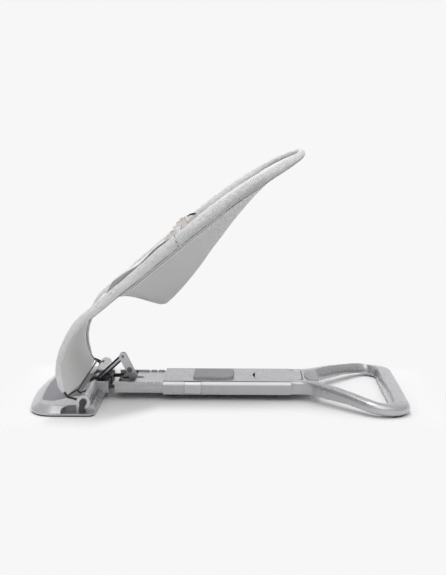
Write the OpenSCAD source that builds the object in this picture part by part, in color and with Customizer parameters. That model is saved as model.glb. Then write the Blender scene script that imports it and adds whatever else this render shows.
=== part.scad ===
// Folding baby bouncer seat: a fabric sling on a wire hoop, hinged at the front foot of a
// telescopic metal base that ends in a wide carrying loop.
// X runs along the base (the foot is at -X), Y across it, Z up from the floor.

/* [Base] */
// Length of the base along the floor, foot to loop
base_length = 784; // [770:1:830]
// Width of the beam's outer body
beam_width = 133; // [129:1:140]
// Height of the beam's deck above the floor
deck_height = 43; // [42:0.5:48]
// Space under the beam
beam_clearance = 13.5; // [10:0.5:15]
// Thickness of the beam's deck
deck_skin = 2.7; // [2:0.1:3]
// Thickness of the plates that close the beam from below
bottom_skin = 2.5; // [2:0.1:3]
// Width of the bevel along the beam's top edges
bevel_width = 4; // [2:0.5:4]
// Height of the bevel along the beam's top edges
bevel_height = 7.5; // [5:0.5:10]
// Length of the outer body ahead of the loop
body_length = 277; // [272:1:285]

/* [Telescopic tube] */
// Side play between the tube and the outer body
tube_play = 0.3; // [0.2:0.05:0.6]
// Play above and below the tube
tube_lift = 0.4; // [0.2:0.05:0.6]
// Wall of the tube
tube_wall = 5.2; // [4:0.1:6]
// Thickness of the tube's floor
tube_floor = 2.5; // [2:0.1:3.5]
// Length of tube that shows ahead of the outer body
tube_exposed = 105; // [98:1:112]
// Length of tube held inside the outer body
tube_held = 36; // [33:1:37]
// Depth of the relief that clears the side buttons
tube_relief = 3.2; // [2.9:0.1:3.5]
// Distance between the stops of the telescope
stop_pitch = 17; // [14:1:18]
// Number of stops after the first
stop_count = 2; // [1:1:2]
// Space between the neck and the tube, bridged by the rails
rail_gap = 13; // [8:1:18]
// Height of the guide rails
rail_height = 8; // [6:0.2:8]
// Thickness of the guide rails
rail_thickness = 4.8; // [3:0.2:5]

/* [Foot] */
// Width of the foot
foot_width = 410; // [400:1:430]
// Length of the foot along the base
foot_length = 135; // [130:1:142]
// Height of the foot's top
foot_height = 20; // [19:0.5:21]
// Radius of the foot's front corners
foot_corner = 48; // [30:1:60]
// Width of the slope around the foot's top
foot_slope = 20; // [12:1:22]
// Height of the foot's rim
lip_height = 8; // [7:0.5:9]
// Wall of the foot's shell
foot_wall = 3; // [2.5:0.1:3.5]
// Thickness of the rubber sole
sole_thickness = 2.4; // [1.5:0.1:3]
// Depth of the dark plate set in the foot
inset_depth = 1.2; // [0.8:0.1:1.6]

/* [Hub] */
// Distance of the hinge axis behind the foot's front edge
hub_setback = 111; // [108:1:113]
// Height of the hinge axis
hub_height = 27; // [26.5:0.5:28]
// Radius of the hinge barrel
barrel_radius = 13.4; // [13:0.1:14]
// Length of the hinge barrel
barrel_length = 364; // [358:1:366]
// Bore of the barrel
barrel_bore = 10.4; // [10:0.1:10.6]
// Length of each bush in the barrel
bush_length = 18; // [14:1:20]
// Radius of the hinge shaft
shaft_radius = 8; // [6:0.1:8.5]
// Radial clearance of turning pins
pin_clearance = 0.05; // [0.02:0.01:0.09]
// Radius of the end discs
disc_radius = 14; // [12:0.5:15]
// Thickness of the end discs
disc_thickness = 7.6; // [6.5:0.1:8]
// Thickness of the clips that hold the discs
clip_thickness = 6; // [4:0.5:7]
// Radius of the discs' stub axles
stub_radius = 4.5; // [3:0.1:5]

/* [Fold linkage] */
// Length of the ramps beside the crank
ramp_length = 24; // [16:1:24]
// Height of the ramps beside the crank
ramp_height = 19; // [12:1:20]
// Length of the crank from the hinge axis to the link pin
crank_length = 83.9; // [82:0.1:85]
// Angle of the crank above the floor
crank_angle = 42.8; // [41:0.1:44]
// Length of the link
link_length = 59.2; // [58:0.1:61]
// Width of the link plates
link_width = 17; // [12:0.5:17]
// Thickness of each link plate
link_plate = 2.5; // [1.5:0.1:3]
// Height of the carriage pin
carriage_pin_height = 31; // [30.5:0.1:31.5]
// Radius of the linkage pins
link_pin_radius = 3; // [2:0.1:3.5]
// Angle through which the seat folds
fold_angle = 40; // [30:0.5:40]

/* [Seat hoop] */
// Radius of the hoop wire
wire_radius = 2.5; // [2:0.1:3]
// Half width of the hoop at the hinge
hoop_low = 190; // [188:0.5:192]
// Half width of the hoop at the shoulders
hoop_high = 205; // [195:1:215]
// Radius of the padded sleeve around the wire
sleeve_radius = 10.3; // [9:0.1:11]
// Height of the seat's neck above the hinge axis
neck_height = 169; // [165:1:180]
// Distance of the neck behind the hinge axis
neck_back = -1; // [-4:1:8]
// Length of the seat from its neck to its head
seat_length = 562; // [540:1:580]
// Slope of the seat
seat_slope = 36.6; // [35:0.1:38]
// Outward bow of the seat's sides
seat_bow = 16; // [10:1:18]
// Radius of the cross wire at the seat's lower hem
cross_wire_radius = 1.8; // [1.4:0.1:2.2]

/* [Seat fabric] */
// Depth of the seat pocket
pocket_depth = 87; // [70:1:94]
// Thickness of the sling
sling_thickness = 6; // [4:0.5:8]
// Thickness of the leg panel
panel_thickness = 4; // [3:0.5:5]
// Thickness of the harness bib
bib_thickness = 5; // [4:0.5:6]
// Half width of the bib at the buckles
bib_half_width = 132; // [120:1:140]
// Half width of the bib at the crotch
crotch_half_width = 30; // [24:1:40]
// Length of a buckle
buckle_length = 30; // [26:1:34]
// Width of a buckle
buckle_width = 24; // [20:1:28]
// Thickness of a buckle
buckle_thickness = 9; // [7:0.5:11]
// Height of a buckle's middle above the bib's middle
buckle_raise = 14.5; // [11:0.5:16]

/* [Controls] */
// Length of the release pad
pad_length = 87; // [80:1:90]
// Half width of the release pad
pad_half_width = 40; // [34:1:42]
// Height of the release pad above the deck
pad_rise = 5; // [3.5:0.5:6]
// Travel of the release pad
pad_travel = 3; // [2:0.5:3]
// Length of a side button
button_length = 36; // [32:1:37]
// Travel of a side button
button_travel = 2.5; // [1.5:0.1:2.5]
// Length of the lever plate
lever_length = 100; // [92:1:102]
// Half width of the lever plate
lever_half_width = 44.5; // [40:0.5:46]
// Radius of the lever plate's front corners
lever_corner = 14; // [8:1:18]
// Gap around the parts set in the deck
set_gap = 0.5; // [0.3:0.1:0.8]
// Radius of the lever's hinge pin
lever_pin_radius = 1.6; // [1.2:0.1:1.7]

/* [Loop] */
// Width of the loop's arms
arm_width = 26; // [24:0.5:28]
// Width of the loop's crossbar
crossbar_width = 37; // [33:0.5:40]
// Angle of the arms away from the beam
arm_spread = 47.7; // [46.5:0.1:48.5]
// Radius of the arms' bends at the beam
arm_bend = 60; // [40:1:80]
// Radius of the loop's rear corners
loop_corner = 40; // [37:1:42]
// Height of the crossbar
crossbar_height = 25; // [22:0.5:28]
// Thickness of the rubber pads under the loop
pad_thickness = 3; // [2:0.5:4]

/* [Hidden] */
$fn = 48;
eps = 0.01;

// Places along the base
front_x = -base_length / 2;
rear_x = base_length / 2;
hub_x = front_x + hub_setback;
foot_rear_x = front_x + foot_length;
neck_end_x = foot_rear_x + 12;
tube_front_x = neck_end_x + rail_gap;
body_front_x = tube_front_x + tube_exposed;
tube_rear_x = body_front_x + tube_held;
body_rear_x = body_front_x + body_length;
telescope_travel = stop_pitch * stop_count;

// Section of the beam
beam_half = beam_width / 2;
body_wall = 4.2;
cavity_half = beam_half - body_wall;
body_floor_z = beam_clearance + bottom_skin;
ceiling_z = deck_height - deck_skin;
tube_half = cavity_half - tube_play;
tube_bottom_z = body_floor_z + tube_lift;
tube_top_z = ceiling_z - tube_lift;
channel_half = tube_half - tube_wall;
channel_floor_z = tube_bottom_z + tube_floor;
rail_outer = channel_half;
rail_inner = rail_outer - rail_thickness;
rail_bottom_z = channel_floor_z + 5.4;
groove = 0.6;

// Linkage: crank pin, carriage pin and the angles they sweep
apex_x = hub_x + crank_length * cos(crank_angle);
apex_z = hub_height + crank_length * sin(crank_angle);
link_drop = apex_z - carriage_pin_height;
link_angle = asin(link_drop / link_length);
carriage_x = apex_x + link_length * cos(link_angle);
pin_bore = link_pin_radius + pin_clearance;

// Seat frame: places are measured from the hinge axis
neck = [neck_back, neck_height];
along = [cos(seat_slope), sin(seat_slope)];
above = [-sin(seat_slope), cos(seat_slope)];
hem_corner = [-32, 12];
hem_wire = [-17, 14.5];
hem_wire_half = 140;
shoulder_at = 0.82 * seat_length;
hook_y = 148;
hook_angle = atan2(hem_wire[1], hem_wire[0]);

// ---- small helpers ----
function unit(v) = v / norm(v);
function mix(a, b, t) = a + (b - a) * t;
function clamp01(t) = max(0, min(1, t));
function smooth(t) = let (c = clamp01(t)) c * c * (3 - 2 * c);
function bezier(p, t) = let (s = 1 - t)
    s * s * s * p[0] + 3 * s * s * t * p[1] + 3 * s * t * t * p[2] + t * t * t * p[3];
function reversed(v) = [for (i = [len(v) - 1:-1:0]) v[i]];

// Points of the round bend at p between its neighbours a and b
function bend(a, p, b, r, n) = let (
        u = unit(a - p), v = unit(b - p), half = acos(u * v) / 2,
        c = p + unit(u + v) * r / sin(half),
        from = p + u * r / tan(half) - c, to = p + v * r / tan(half) - c,
        start = atan2(from[1], from[0]), stop = atan2(to[1], to[0]),
        turn = ((stop - start + 540) % 360) - 180)
    [for (k = [0:n]) c + r * [cos(start + turn * k / n), sin(start + turn * k / n)]];

// A closed outline with each corner rounded to its own radius; 0 keeps it sharp
function rounded(pts, radii, n = 6) = [
    for (i = [0:len(pts) - 1]) each radii[i] <= 0 ? [pts[i]]
        : bend(pts[(i + len(pts) - 1) % len(pts)], pts[i], pts[(i + 1) % len(pts)],
               radii[i], n)];

// A solid skinned over rings of equally many points, closed at both ends
module skin(rings) {
    m = len(rings[0]);
    n = len(rings);
    sides = [for (i = [0:n - 2], j = [0:m - 1]) let (k = (j + 1) % m)
        [i * m + j, (i + 1) * m + j, (i + 1) * m + k, i * m + k]];
    triangles = [for (f = sides) each [[f[0], f[1], f[2]], [f[0], f[2], f[3]]]];
    first = [for (j = [0:m - 1]) j];
    last = [for (j = [m - 1:-1:0]) (n - 1) * m + j];
    polyhedron(points = [for (r = rings) each r], faces = concat([first], triangles, [last]),
               convexity = 8);
}

module box(from, to) {
    translate(from) cube(to - from);
}

// A cylinder along Y, centred on y
module rod_y(x, z, y, r, length) {
    translate([x, y + length / 2, z]) rotate([90, 0, 0]) cylinder(h = length, r = r);
}

// An X-Z outline drawn out along Y from y0 to y1
module across(y0, y1) {
    translate([0, y1, 0]) rotate([90, 0, 0]) linear_extrude(y1 - y0) children();
}

// A Y-Z outline drawn out along X from x0 to x1
module lengthwise(x0, x1) {
    translate([x0, 0, 0]) rotate([90, 0, 90]) linear_extrude(x1 - x0) children();
}

module both_sides() {
    children();
    mirror([0, 1, 0]) children();
}

// ---- the beam's outer body ----
body_button_x = body_front_x + 46.5;
pad_x = body_front_x + 65;
lever_hinge_x = body_rear_x + 22;
lever_x = lever_hinge_x - lever_length;
knuckle_radius = 3.4;
lever_axis_z = deck_height - knuckle_radius;
grip_x = body_rear_x + 30;
crotch_x = body_rear_x + 63;

module beam_outline(half, top, bottom) {
    polygon([
        [-half + bevel_width, top], [-half + bevel_width + groove, top - 1.5 * groove],
        [-half + bevel_width + 2 * groove, top], [half - bevel_width - 2 * groove, top],
        [half - bevel_width - groove, top - 1.5 * groove], [half - bevel_width, top],
        [half, top - bevel_height], [half - groove, top - bevel_height - groove],
        [half, top - bevel_height - 2 * groove], [half, bottom + 1], [half - 1, bottom],
        [-half + 1, bottom], [-half, bottom + 1], [-half, top - bevel_height - 2 * groove],
        [-half + groove, top - bevel_height - groove], [-half, top - bevel_height]
    ]);
}

module deck_outline(length, half, radius) {
    polygon(rounded([[0, -half], [length, -half], [length, half], [0, half]],
                    [3, radius, radius, 3]));
}

module button_window(grow) {
    box([body_button_x - grow, cavity_half - button_travel - 0.6, body_floor_z - grow],
        [body_button_x + button_length + grow, beam_half + 1,
         deck_height - 2 + grow]);
}

module lever_outline(grow) polygon(rounded([
    [lever_x - grow, -lever_half_width - grow],
    [lever_hinge_x + knuckle_radius + grow, -lever_half_width - grow],
    [lever_hinge_x + knuckle_radius + grow, lever_half_width + grow],
    [lever_x - grow, lever_half_width + grow]], [lever_corner, 0, 0, lever_corner]));

module rear_body_shell() color("silver") difference() {
    lengthwise(body_front_x, body_rear_x)
        beam_outline(beam_half, deck_height, beam_clearance);
    box([body_front_x - 1, -cavity_half, beam_clearance - 1],
        [body_rear_x + 1, cavity_half, ceiling_z]);
    translate([pad_x - set_gap, 0, ceiling_z - 1])
        linear_extrude(deck_skin + 2) deck_outline(pad_length + 2 * set_gap,
                                                   pad_half_width + set_gap, 15);
    translate([0, 0, ceiling_z - 1]) linear_extrude(deck_skin + 2) {
        lever_outline(set_gap);
        // finger notch in front of the plate
        intersection() {
            translate([lever_x + 55, 0]) circle(r = 60);
            translate([lever_x - 10, -lever_half_width]) square([30, 2 * lever_half_width]);
        }
    }
    both_sides() button_window(set_gap);
}

module rear_bottom_plate() color("dimgray") difference() {
    box([body_front_x, -cavity_half, beam_clearance],
        [body_rear_x, cavity_half, body_floor_z]);
    for (x = screw_places) translate([x[0], x[1], 0]) cylinder(h = 60, r = 1.6);
}

screw_places = [for (x = [pad_x + 10, pad_x + pad_length + 30], y = [-52, 52]) [x, y]];

module body_screws() color("darkgray") for (p = screw_places) {
    translate([p[0], p[1], beam_clearance - 1.5]) cylinder(h = 1.5, r = 3.2);
    translate([p[0], p[1], beam_clearance - 1.5]) cylinder(h = bottom_skin + 1.5, r = 1.6);
}

module beam_feet() color("black") for (x = [body_front_x + 8.5, body_rear_x - 31, body_rear_x - 6])
    both_sides() translate([x, 48, beam_clearance - 5]) cylinder(h = 5, r1 = 5, r2 = 6.5);

// ---- controls ----
module release_pad() color("gray") {
    translate([pad_x, 0, deck_height - deck_skin])
        linear_extrude(deck_skin + pad_rise) deck_outline(pad_length, pad_half_width, 15);
    for (y = pad_spring_places) translate([pad_spring_x, y, ceiling_z - 6]) cylinder(h = 7, r = 3);
}

pad_spring_x = pad_x + pad_length - 24;
pad_spring_places = [-20, 20];

function coil(radius, wire, height, turns, steps = 12, sides = 6) = [
    for (i = [0:turns * steps]) let (a = 360 * i / steps, z = height * i / (turns * steps))
        [for (j = [0:sides - 1]) let (b = -360 * j / sides)
            [(radius + wire * cos(b)) * cos(a), (radius + wire * cos(b)) * sin(a),
             z + wire * sin(b)]]];

module pad_springs() color("darkgray") for (y = pad_spring_places)
    translate([pad_spring_x, y, body_floor_z + 0.7])
        skin(coil(5, 0.6, ceiling_z - body_floor_z - 1.4, 4));

module side_button() difference() {
    intersection() {
        lengthwise(body_button_x, body_button_x + button_length)
            beam_outline(beam_half, deck_height, beam_clearance);
        box([body_button_x, cavity_half + 0.3, body_floor_z],
            [body_button_x + button_length, beam_half, deck_height - 2]);
    }
    for (i = [0:4])
        box([body_button_x + 8 + 5 * i, beam_half - 0.5, body_floor_z + 6],
            [body_button_x + 9 + 5 * i, beam_half + 1, body_floor_z + 14]);
}

module side_button_near() color("silver") mirror([0, 1, 0]) side_button();
module side_button_far() color("silver") side_button();

// The bridge carries the buttons' return springs between the body's walls
module latch_bridge() color("dimgray") {
    x = body_button_x + button_length - 2;
    half = rail_inner - 3;
    bridge_top_z = block_top_z - drift - 1.2;
    box([x - 12, -half, channel_floor_z + 2], [x, half, bridge_top_z]);
    for (y = [-20, 20]) box([x, y - 5, body_floor_z], [x + 4, y + 5, bridge_top_z]);
}

module lever_plate() color("silver") {
    difference() {
        union() {
            intersection() {
                box([lever_x, -lever_half_width, ceiling_z],
                    [lever_hinge_x, lever_half_width, deck_height]);
                translate([0, 0, ceiling_z]) linear_extrude(deck_skin) lever_outline(0);
            }
            rod_y(lever_hinge_x, lever_axis_z, 0, knuckle_radius, 2 * lever_knuckle);
        }
        rod_y(lever_hinge_x, lever_axis_z, 0, lever_pin_radius + pin_clearance, beam_width);
        for (s = [-1, 1])
            box([lever_hinge_x - knuckle_radius - set_gap,
                 s > 0 ? lever_knuckle : -lever_half_width - 1, ceiling_z - 5],
                [lever_hinge_x + 5,
                 s > 0 ? lever_half_width + 1 : -lever_knuckle, deck_height + 1]);
    }
}

lever_knuckle = lever_half_width - 5;
bracket_z = 30;

module lever_pin() color("dimgray")
    rod_y(lever_hinge_x, lever_axis_z, 0, lever_pin_radius, 2 * lever_half_width - 0.4);

module lever_bracket() color("dimgray") difference() {
    union() {
        box([lever_x - 6, -cavity_half + 3, bracket_z], [body_rear_x - 1, cavity_half - 3,
                                                         bracket_z + 3]);
        box([body_rear_x - 2, -lever_half_width, bracket_z],
            [lever_hinge_x + knuckle_radius, lever_half_width, bracket_z + 3]);
        both_sides() {
            box([lever_hinge_x - 3, lever_knuckle + 0.4, bracket_z],
                [lever_hinge_x + 3, lever_half_width, deck_height - 0.6]);
            box([lever_x, cavity_half - 6, bracket_z], [body_rear_x - 1, cavity_half, ceiling_z]);
        }
    }
    rod_y(lever_hinge_x, lever_axis_z, 0, lever_pin_radius, beam_width);
}

// ---- loop ----
arm_half = arm_width / 2;
cross_half = crossbar_width / 2;
arm_y = beam_half - arm_half;
arm_bend_x = body_rear_x + 39.6;
crossbar_x = rear_x - cross_half;
arm_meet_y = arm_y + (crossbar_x - arm_bend_x) * tan(arm_spread);

loop_half_path = let (
        start = [body_rear_x, arm_y], knee = [arm_bend_x, arm_y],
        corner = [crossbar_x, arm_meet_y], end = [crossbar_x, 0],
        first = bend(start, knee, corner, arm_bend, 6),
        second = bend(knee, corner, end, loop_corner, 12))
    concat([start], first,
           [for (t = [0.33, 0.66]) mix(first[6], second[0], t)],
           second, [mix(second[12], end, 0.5)]);
loop_path = concat(loop_half_path, [[crossbar_x, 0]],
                   [for (p = reversed(loop_half_path)) [p[0], -p[1]]]);

// Height of the arms' top and underside, and their half width, at a distance along X
function loop_top(x) = mix(deck_height, crossbar_height,
                           smooth((x - crotch_x) / (crossbar_x - crotch_x)));
function loop_bottom(x) = mix(beam_clearance + 1, pad_thickness,
                              smooth((x - crotch_x - 50) / (crossbar_x - 20 - crotch_x - 50)));
function loop_half_width(x) = mix(arm_half, cross_half,
                                  smooth((x - (crossbar_x - 40)) / 36));
function loop_lean(x) = smooth((x - body_rear_x - 10) / 90);

// Section of the loop: outward distance and height
function loop_section(x) = let (
        w = loop_half_width(x), t = loop_top(x), b = loop_bottom(x), k = loop_lean(x),
        h = t - b)
    [[-w + 1.5, b], [-w, b + 1.5], [-w, mix(t - 2, b + 0.5 * h, k)],
     [mix(-w + 2, -w + 5.5, k), t - 0.5], [mix(-w + 3.5, -w + 7.5, k), t],
     [0, t - 0.7 * k], [w - bevel_width - 1, t - 2.5 * k],
     [w - bevel_width + 1, t - 3.5 * k - 0.6 - k], [w - 1, t - 0.55 * bevel_height - 2.2 * k],
     [w, t - bevel_height - 2 * k], [w, mix(b + 1.5, b + 0.45 * h, 0.4 * k)],
     [w - 0.5 - 2 * k, b + 1.5], [w - 2 - 4 * k, b]];

function loop_rings(path) = [for (i = [0:len(path) - 1]) let (
        a = path[max(0, i - 1)], b = path[min(len(path) - 1, i + 1)],
        d = i == 0 ? [1, 0] : i == len(path) - 1 ? [-1, 0] : unit(b - a), out = [-d[1], d[0]])
    [for (s = reversed(loop_section(path[i][0])))
        [path[i][0] + out[0] * s[0], path[i][1] + out[1] * s[0], s[1]]]];

// The deck between the arms, with its round rear edge; a hair below the arms' tops
saddle_z = deck_height - 0.3;
module loop_deck() across(-arm_y - 6.3, arm_y + 6.3) polygon(concat(
    [[body_rear_x + 0.2, saddle_z], [body_rear_x + 0.2, ceiling_z - 6]],
    bend([body_rear_x, ceiling_z - 6], [crotch_x - 2, deck_height - 18],
         [crotch_x, saddle_z], 4, 4),
    bend([crotch_x - 2, deck_height - 18], [crotch_x, saddle_z],
         [body_rear_x, saddle_z], 8, 6)));

module rear_loop() color("silver") difference() {
    union() {
        skin(loop_rings(loop_path));
        loop_deck();
    }
    box([body_rear_x - 1, -lever_half_width - set_gap, bracket_z - 0.3],
        [lever_hinge_x + knuckle_radius + set_gap, lever_half_width + set_gap, deck_height + 1]);
    grip_space(0, 3);
}

module grip_space(inset, height) {
    translate([0, 0, deck_height - 1.6])
        linear_extrude(height) polygon(concat(
            [[crotch_x - 4 - inset, -grip_half + inset], [crotch_x - 4 - inset, grip_half - inset]],
            [for (a = [60:-15:-60]) [grip_x + 17 + inset - (grip_bulge) * cos(a),
                                     (grip_half - inset) * sin(a) / sin(60)]]));
}

grip_half = 46;
grip_bulge = 17;

module grip_insert() color("dimgray") grip_space(0.3, 2.4);

// Centre of the bend at a rear corner
corner_at = [crossbar_x - loop_corner, arm_meet_y - loop_corner / tan((90 - arm_spread) / 2)];

module loop_pads() color("black") both_sides() translate(corner_at)
    linear_extrude(pad_thickness) polygon(concat(
        [for (a = [-14:8:66]) (loop_corner + 10) * [cos(a), sin(a)]],
        [for (a = [66:-8:-14]) (loop_corner - 10) * [cos(a), sin(a)]]));

// ---- foot ----
function foot_points(inset, rear = 4) = let (
        h = foot_width / 2 - inset, f = front_x + inset, r = foot_rear_x - min(inset, rear))
    rounded([[f, -h], [r, -h], [r, h], [f, h]],
            [foot_corner - inset, 14, 14, foot_corner - inset], 8);
function at_height(points, z) = [for (p = points) [p[0], p[1], z]];
module foot_outline(inset) polygon(foot_points(inset));

// The hollow under the foot's slopes and top
module foot_hollow() difference() {
    skin([for (s = [[foot_wall + 0.4, sole_thickness], [foot_wall + 0.8, lip_height - 1],
                    [foot_slope + 1, foot_height - foot_wall]])
          at_height(foot_points(s[0], foot_wall + 4), s[1])]);
    both_sides() box([front_x - 1, barrel_length / 2 - 4, -1],
                     [foot_rear_x + 1, foot_width, 60]);
    for (p = foot_screw_places) translate([p[0], p[1], -1]) cylinder(h = 30, r = 4);
}

// The pocket at each end of the barrel: discs, wire ends and clips sit in it
module end_pocket() {
    across(barrel_length / 2 + 0.1, foot_width / 2 + 1) polygon([
        [hub_x - 45, lip_height - 2], [foot_rear_x + 5, lip_height - 2],
        [foot_rear_x + 5, 60], [hub_x - 28, 60], [hub_x - 28, foot_height + 2],
        [hub_x - 45, foot_height - 6]]);
}

module inset_outline(grow) {
    h = foot_width / 2 - 54 + grow;
    x = front_x + 22 - grow;
    polygon(rounded([[x, -h], [x + 24, -h], [x + 62, -h + 42], [hub_x - 16, -h + 42],
                     [hub_x - 16, h - 42], [x + 62, h - 42], [x + 24, h], [x, h]],
                    [18, 8, 8, 0, 0, 8, 8, 18], 5));
}

// A wedge around the hinge axis from one angle to another, drawn out along Y
module sector(a0, a1, reach, y0, y1) {
    translate([hub_x, 0, hub_height]) across(y0, y1) polygon(concat([[0, 0]],
        [for (k = [0:4]) reach * [cos(mix(a0, a1, k / 4)), sin(mix(a0, a1, k / 4))]]));
}

module slot_space(grow, y0, y1) intersection() {
    sector(hook_angle - fold_angle - 9 - grow, hook_angle + 9 + grow, 30, y0, y1);
    rod_y(hub_x, hub_height, (y0 + y1) / 2, barrel_radius + 3, y1 - y0);
}

module barrel(grow = 0) {
    straight = barrel_length - 64;
    rod_y(hub_x, hub_height, 0, barrel_radius + grow, straight);
    both_sides() translate([hub_x, straight / 2, hub_height]) rotate([-90, 0, 0])
        cylinder(h = 32 + grow, r1 = barrel_radius + grow, r2 = disc_radius + 0.5 + grow);
}

module foot_shell() color("silver") difference() {
    skin([for (s = [[0.8, sole_thickness], [0, sole_thickness + 1], [0, lip_height - 1],
                    [0.8, lip_height], [foot_slope - 3, foot_height - 1.2],
                    [foot_slope, foot_height]]) at_height(foot_points(s[0]), s[1])]);
    foot_hollow();
    translate([0, 0, sole_thickness - 1]) linear_extrude(bottom_skin + 1) foot_outline(foot_wall);
    translate([0, 0, foot_height - inset_depth]) linear_extrude(5) inset_outline(0);
    both_sides() end_pocket();
    barrel(0.15);
    for (p = foot_screw_places) translate([p[0], p[1], 0])
        cylinder(h = foot_screw_length + 4, r = foot_screw_radius);
}

module hub_barrel() color("silver") difference() {
    barrel();
    rod_y(hub_x, hub_height, 0, barrel_bore, barrel_length + 2);
    rod_y(hub_x, hub_height, 0, barrel_radius + 1, 2 * barrel_inner_y);
    both_sides() slot_space(2, hook_y - 7.5, hook_y + 7.5);
}

crank_hub_radius = shaft_radius + 4;
barrel_inner_y = tube_half - 1.3;
foot_screw_places = [for (x = [front_x + 32, hub_x - 34], y = [-120, 120]) [x, y]];
foot_screw_radius = 1.5;
foot_screw_length = 9;
foot_screw_head = 1.4;

module foot_bottom_plate() color("dimgray") difference() {
    translate([0, 0, sole_thickness]) linear_extrude(bottom_skin) foot_outline(foot_wall + 0.2);
    for (p = foot_screw_places) translate([p[0], p[1], 0])
        cylinder(h = foot_screw_length + 4, r = foot_screw_radius);
    for (p = foot_screw_places) translate([p[0], p[1], 0])
        cylinder(h = sole_thickness + foot_screw_head, r = 2 * foot_screw_radius);
}

module foot_screws() color("darkgray") for (p = foot_screw_places) {
    translate([p[0], p[1], sole_thickness])
        cylinder(h = foot_screw_head, r = 2 * foot_screw_radius);
    translate([p[0], p[1], sole_thickness])
        cylinder(h = foot_screw_length, r = foot_screw_radius);
}

module foot_sole() color("black") difference() {
    linear_extrude(sole_thickness) foot_outline(1.2);
    translate([0, 0, -1]) linear_extrude(sole_thickness + 2) polygon(foot_points(26, 26));
}

module foot_inset() color("gray") difference() {
    translate([0, 0, foot_height - inset_depth]) linear_extrude(inset_depth) inset_outline(-0.2);
    barrel(0.25);
}

module recess_liners() color("dimgray") both_sides()
    across(barrel_length / 2 + 0.1, barrel_length / 2 + 1.6) polygon([
        [hub_x - 43, lip_height - 2], [hub_x - disc_radius - 2, lip_height - 2],
        [hub_x - disc_radius - 2, foot_height - 1], [hub_x - 29, foot_height - 1],
        [hub_x - 43, foot_height - 7]]);

module slot_liners() color("black") both_sides() difference() {
    intersection() {
        slot_space(2, hook_y - 7.5, hook_y + 7.5);
        rod_y(hub_x, hub_height, hook_y, barrel_radius + 0.5, 30);
    }
    slot_space(0, hook_y - 6, hook_y + 6);
    rod_y(hub_x, hub_height, hook_y, barrel_bore + 1.5, 30);
}

bush_places = [barrel_inner_y + bush_length / 2, barrel_length / 2 - bush_length / 2 - 3];
module hub_bushes() color("black") for (y = bush_places, s = [-1, 1]) difference() {
    rod_y(hub_x, hub_height, s * y, barrel_bore, bush_length);
    rod_y(hub_x, hub_height, s * y, shaft_radius + pin_clearance, bush_length + 2);
}

disc_inner_y = barrel_length / 2 + 0.3;
disc_outer_y = disc_inner_y + disc_thickness;
clip_y = disc_outer_y + 0.3;

module pivot_clip() difference() {
    union() {
        across(clip_y, clip_y + clip_thickness) polygon([
            [hub_x - 8.5, lip_height - 2], [hub_x + 2, lip_height - 2],
            [hub_x + 4, hub_height], [hub_x - 7, hub_height]]);
        rod_y(hub_x, hub_height, clip_y + clip_thickness / 2, stub_radius + 3,
              clip_thickness);
    }
    rod_y(hub_x, hub_height, clip_y + clip_thickness / 2, stub_radius + pin_clearance, 30);
}

module pivot_clip_near() color("black") mirror([0, 1, 0]) pivot_clip();
module pivot_clip_far() color("black") pivot_clip();

module channel_outline(half, inner, bottom, floor_z, top) {
    polygon([
        [-half, bottom], [half, bottom], [half, bottom + 11], [half - groove, bottom + 11.6],
        [half, bottom + 12.2], [half, top], [inner, top], [inner, floor_z],
        [-inner, floor_z], [-inner, top], [-half, top], [-half, bottom + 12.2],
        [-half + groove, bottom + 11.6], [-half, bottom + 11]]);
}

module neck_channel() color("silver") difference() {
    lengthwise(hub_x, neck_end_x)
        channel_outline(tube_half - 1.5, channel_half, tube_bottom_z - 1, channel_floor_z - 1,
                        tube_top_z);
    rod_y(hub_x, hub_height, 0, shaft_radius + 0.6, beam_width);
    rod_y(hub_x, hub_height, 0, crank_hub_radius + 0.6, 18);
    box([hub_x - 1, -100, 0], [foot_rear_x + 0.2, 100, foot_height]);
    // room for the folded crank
    box([hub_x, -9, hub_height - 9], [neck_end_x + 1, 9, 60]);
}

// Dark ramps beside the crank, on the channel's floor
module channel_ramps() color("dimgray") both_sides()
    across(crank_hub_radius + 1, rail_inner - 0.6) polygon([
        [ramp_x - ramp_length, foot_height + 0.1], [foot_rear_x + 0.4, foot_height + 0.1],
        [foot_rear_x + 0.4, channel_floor_z - 1], [ramp_x, channel_floor_z - 1],
        [ramp_x, channel_floor_z - 1 + ramp_height],
        [ramp_x - 3, channel_floor_z - 1 + ramp_height]]);

ramp_x = neck_end_x - 0.5;

module guide_rails() color("black") both_sides() difference() {
    box([neck_end_x - 15, rail_inner, rail_bottom_z],
        [tube_rear_x - 12, rail_outer, rail_bottom_z + rail_height]);
    box([neck_end_x - 16, rail_outer - 0.8, rail_bottom_z + rail_height / 2 - 0.7],
        [tube_rear_x, rail_outer + 1, rail_bottom_z + rail_height / 2 + 0.7]);
}

module inner_tube() color("silver") difference() {
    lengthwise(tube_front_x, tube_rear_x)
        channel_outline(tube_half, channel_half, tube_bottom_z, channel_floor_z, tube_top_z);
    both_sides() box([body_front_x + 5, tube_half - tube_relief, 0],
                     [tube_rear_x + 1, tube_half + 1, 60]);
    for (i = [0:stop_count])
        box([body_front_x - 1 - stop_pitch * i - 4, -100, tube_top_z - 2.2],
            [body_front_x - 1 - stop_pitch * i, 100, 60]);
}

// ---- linkage: drawn at rest ----
crank_gauge = 4.2;
crank_half_y = 2.6;

module along_crank(from, to) {
    translate([hub_x, 0, hub_height]) rotate([0, -crank_angle, 0])
        translate([from, 0, 0]) rotate([0, 90, 0]) cylinder(h = to - from, r = crank_gauge / 2);
}

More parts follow.
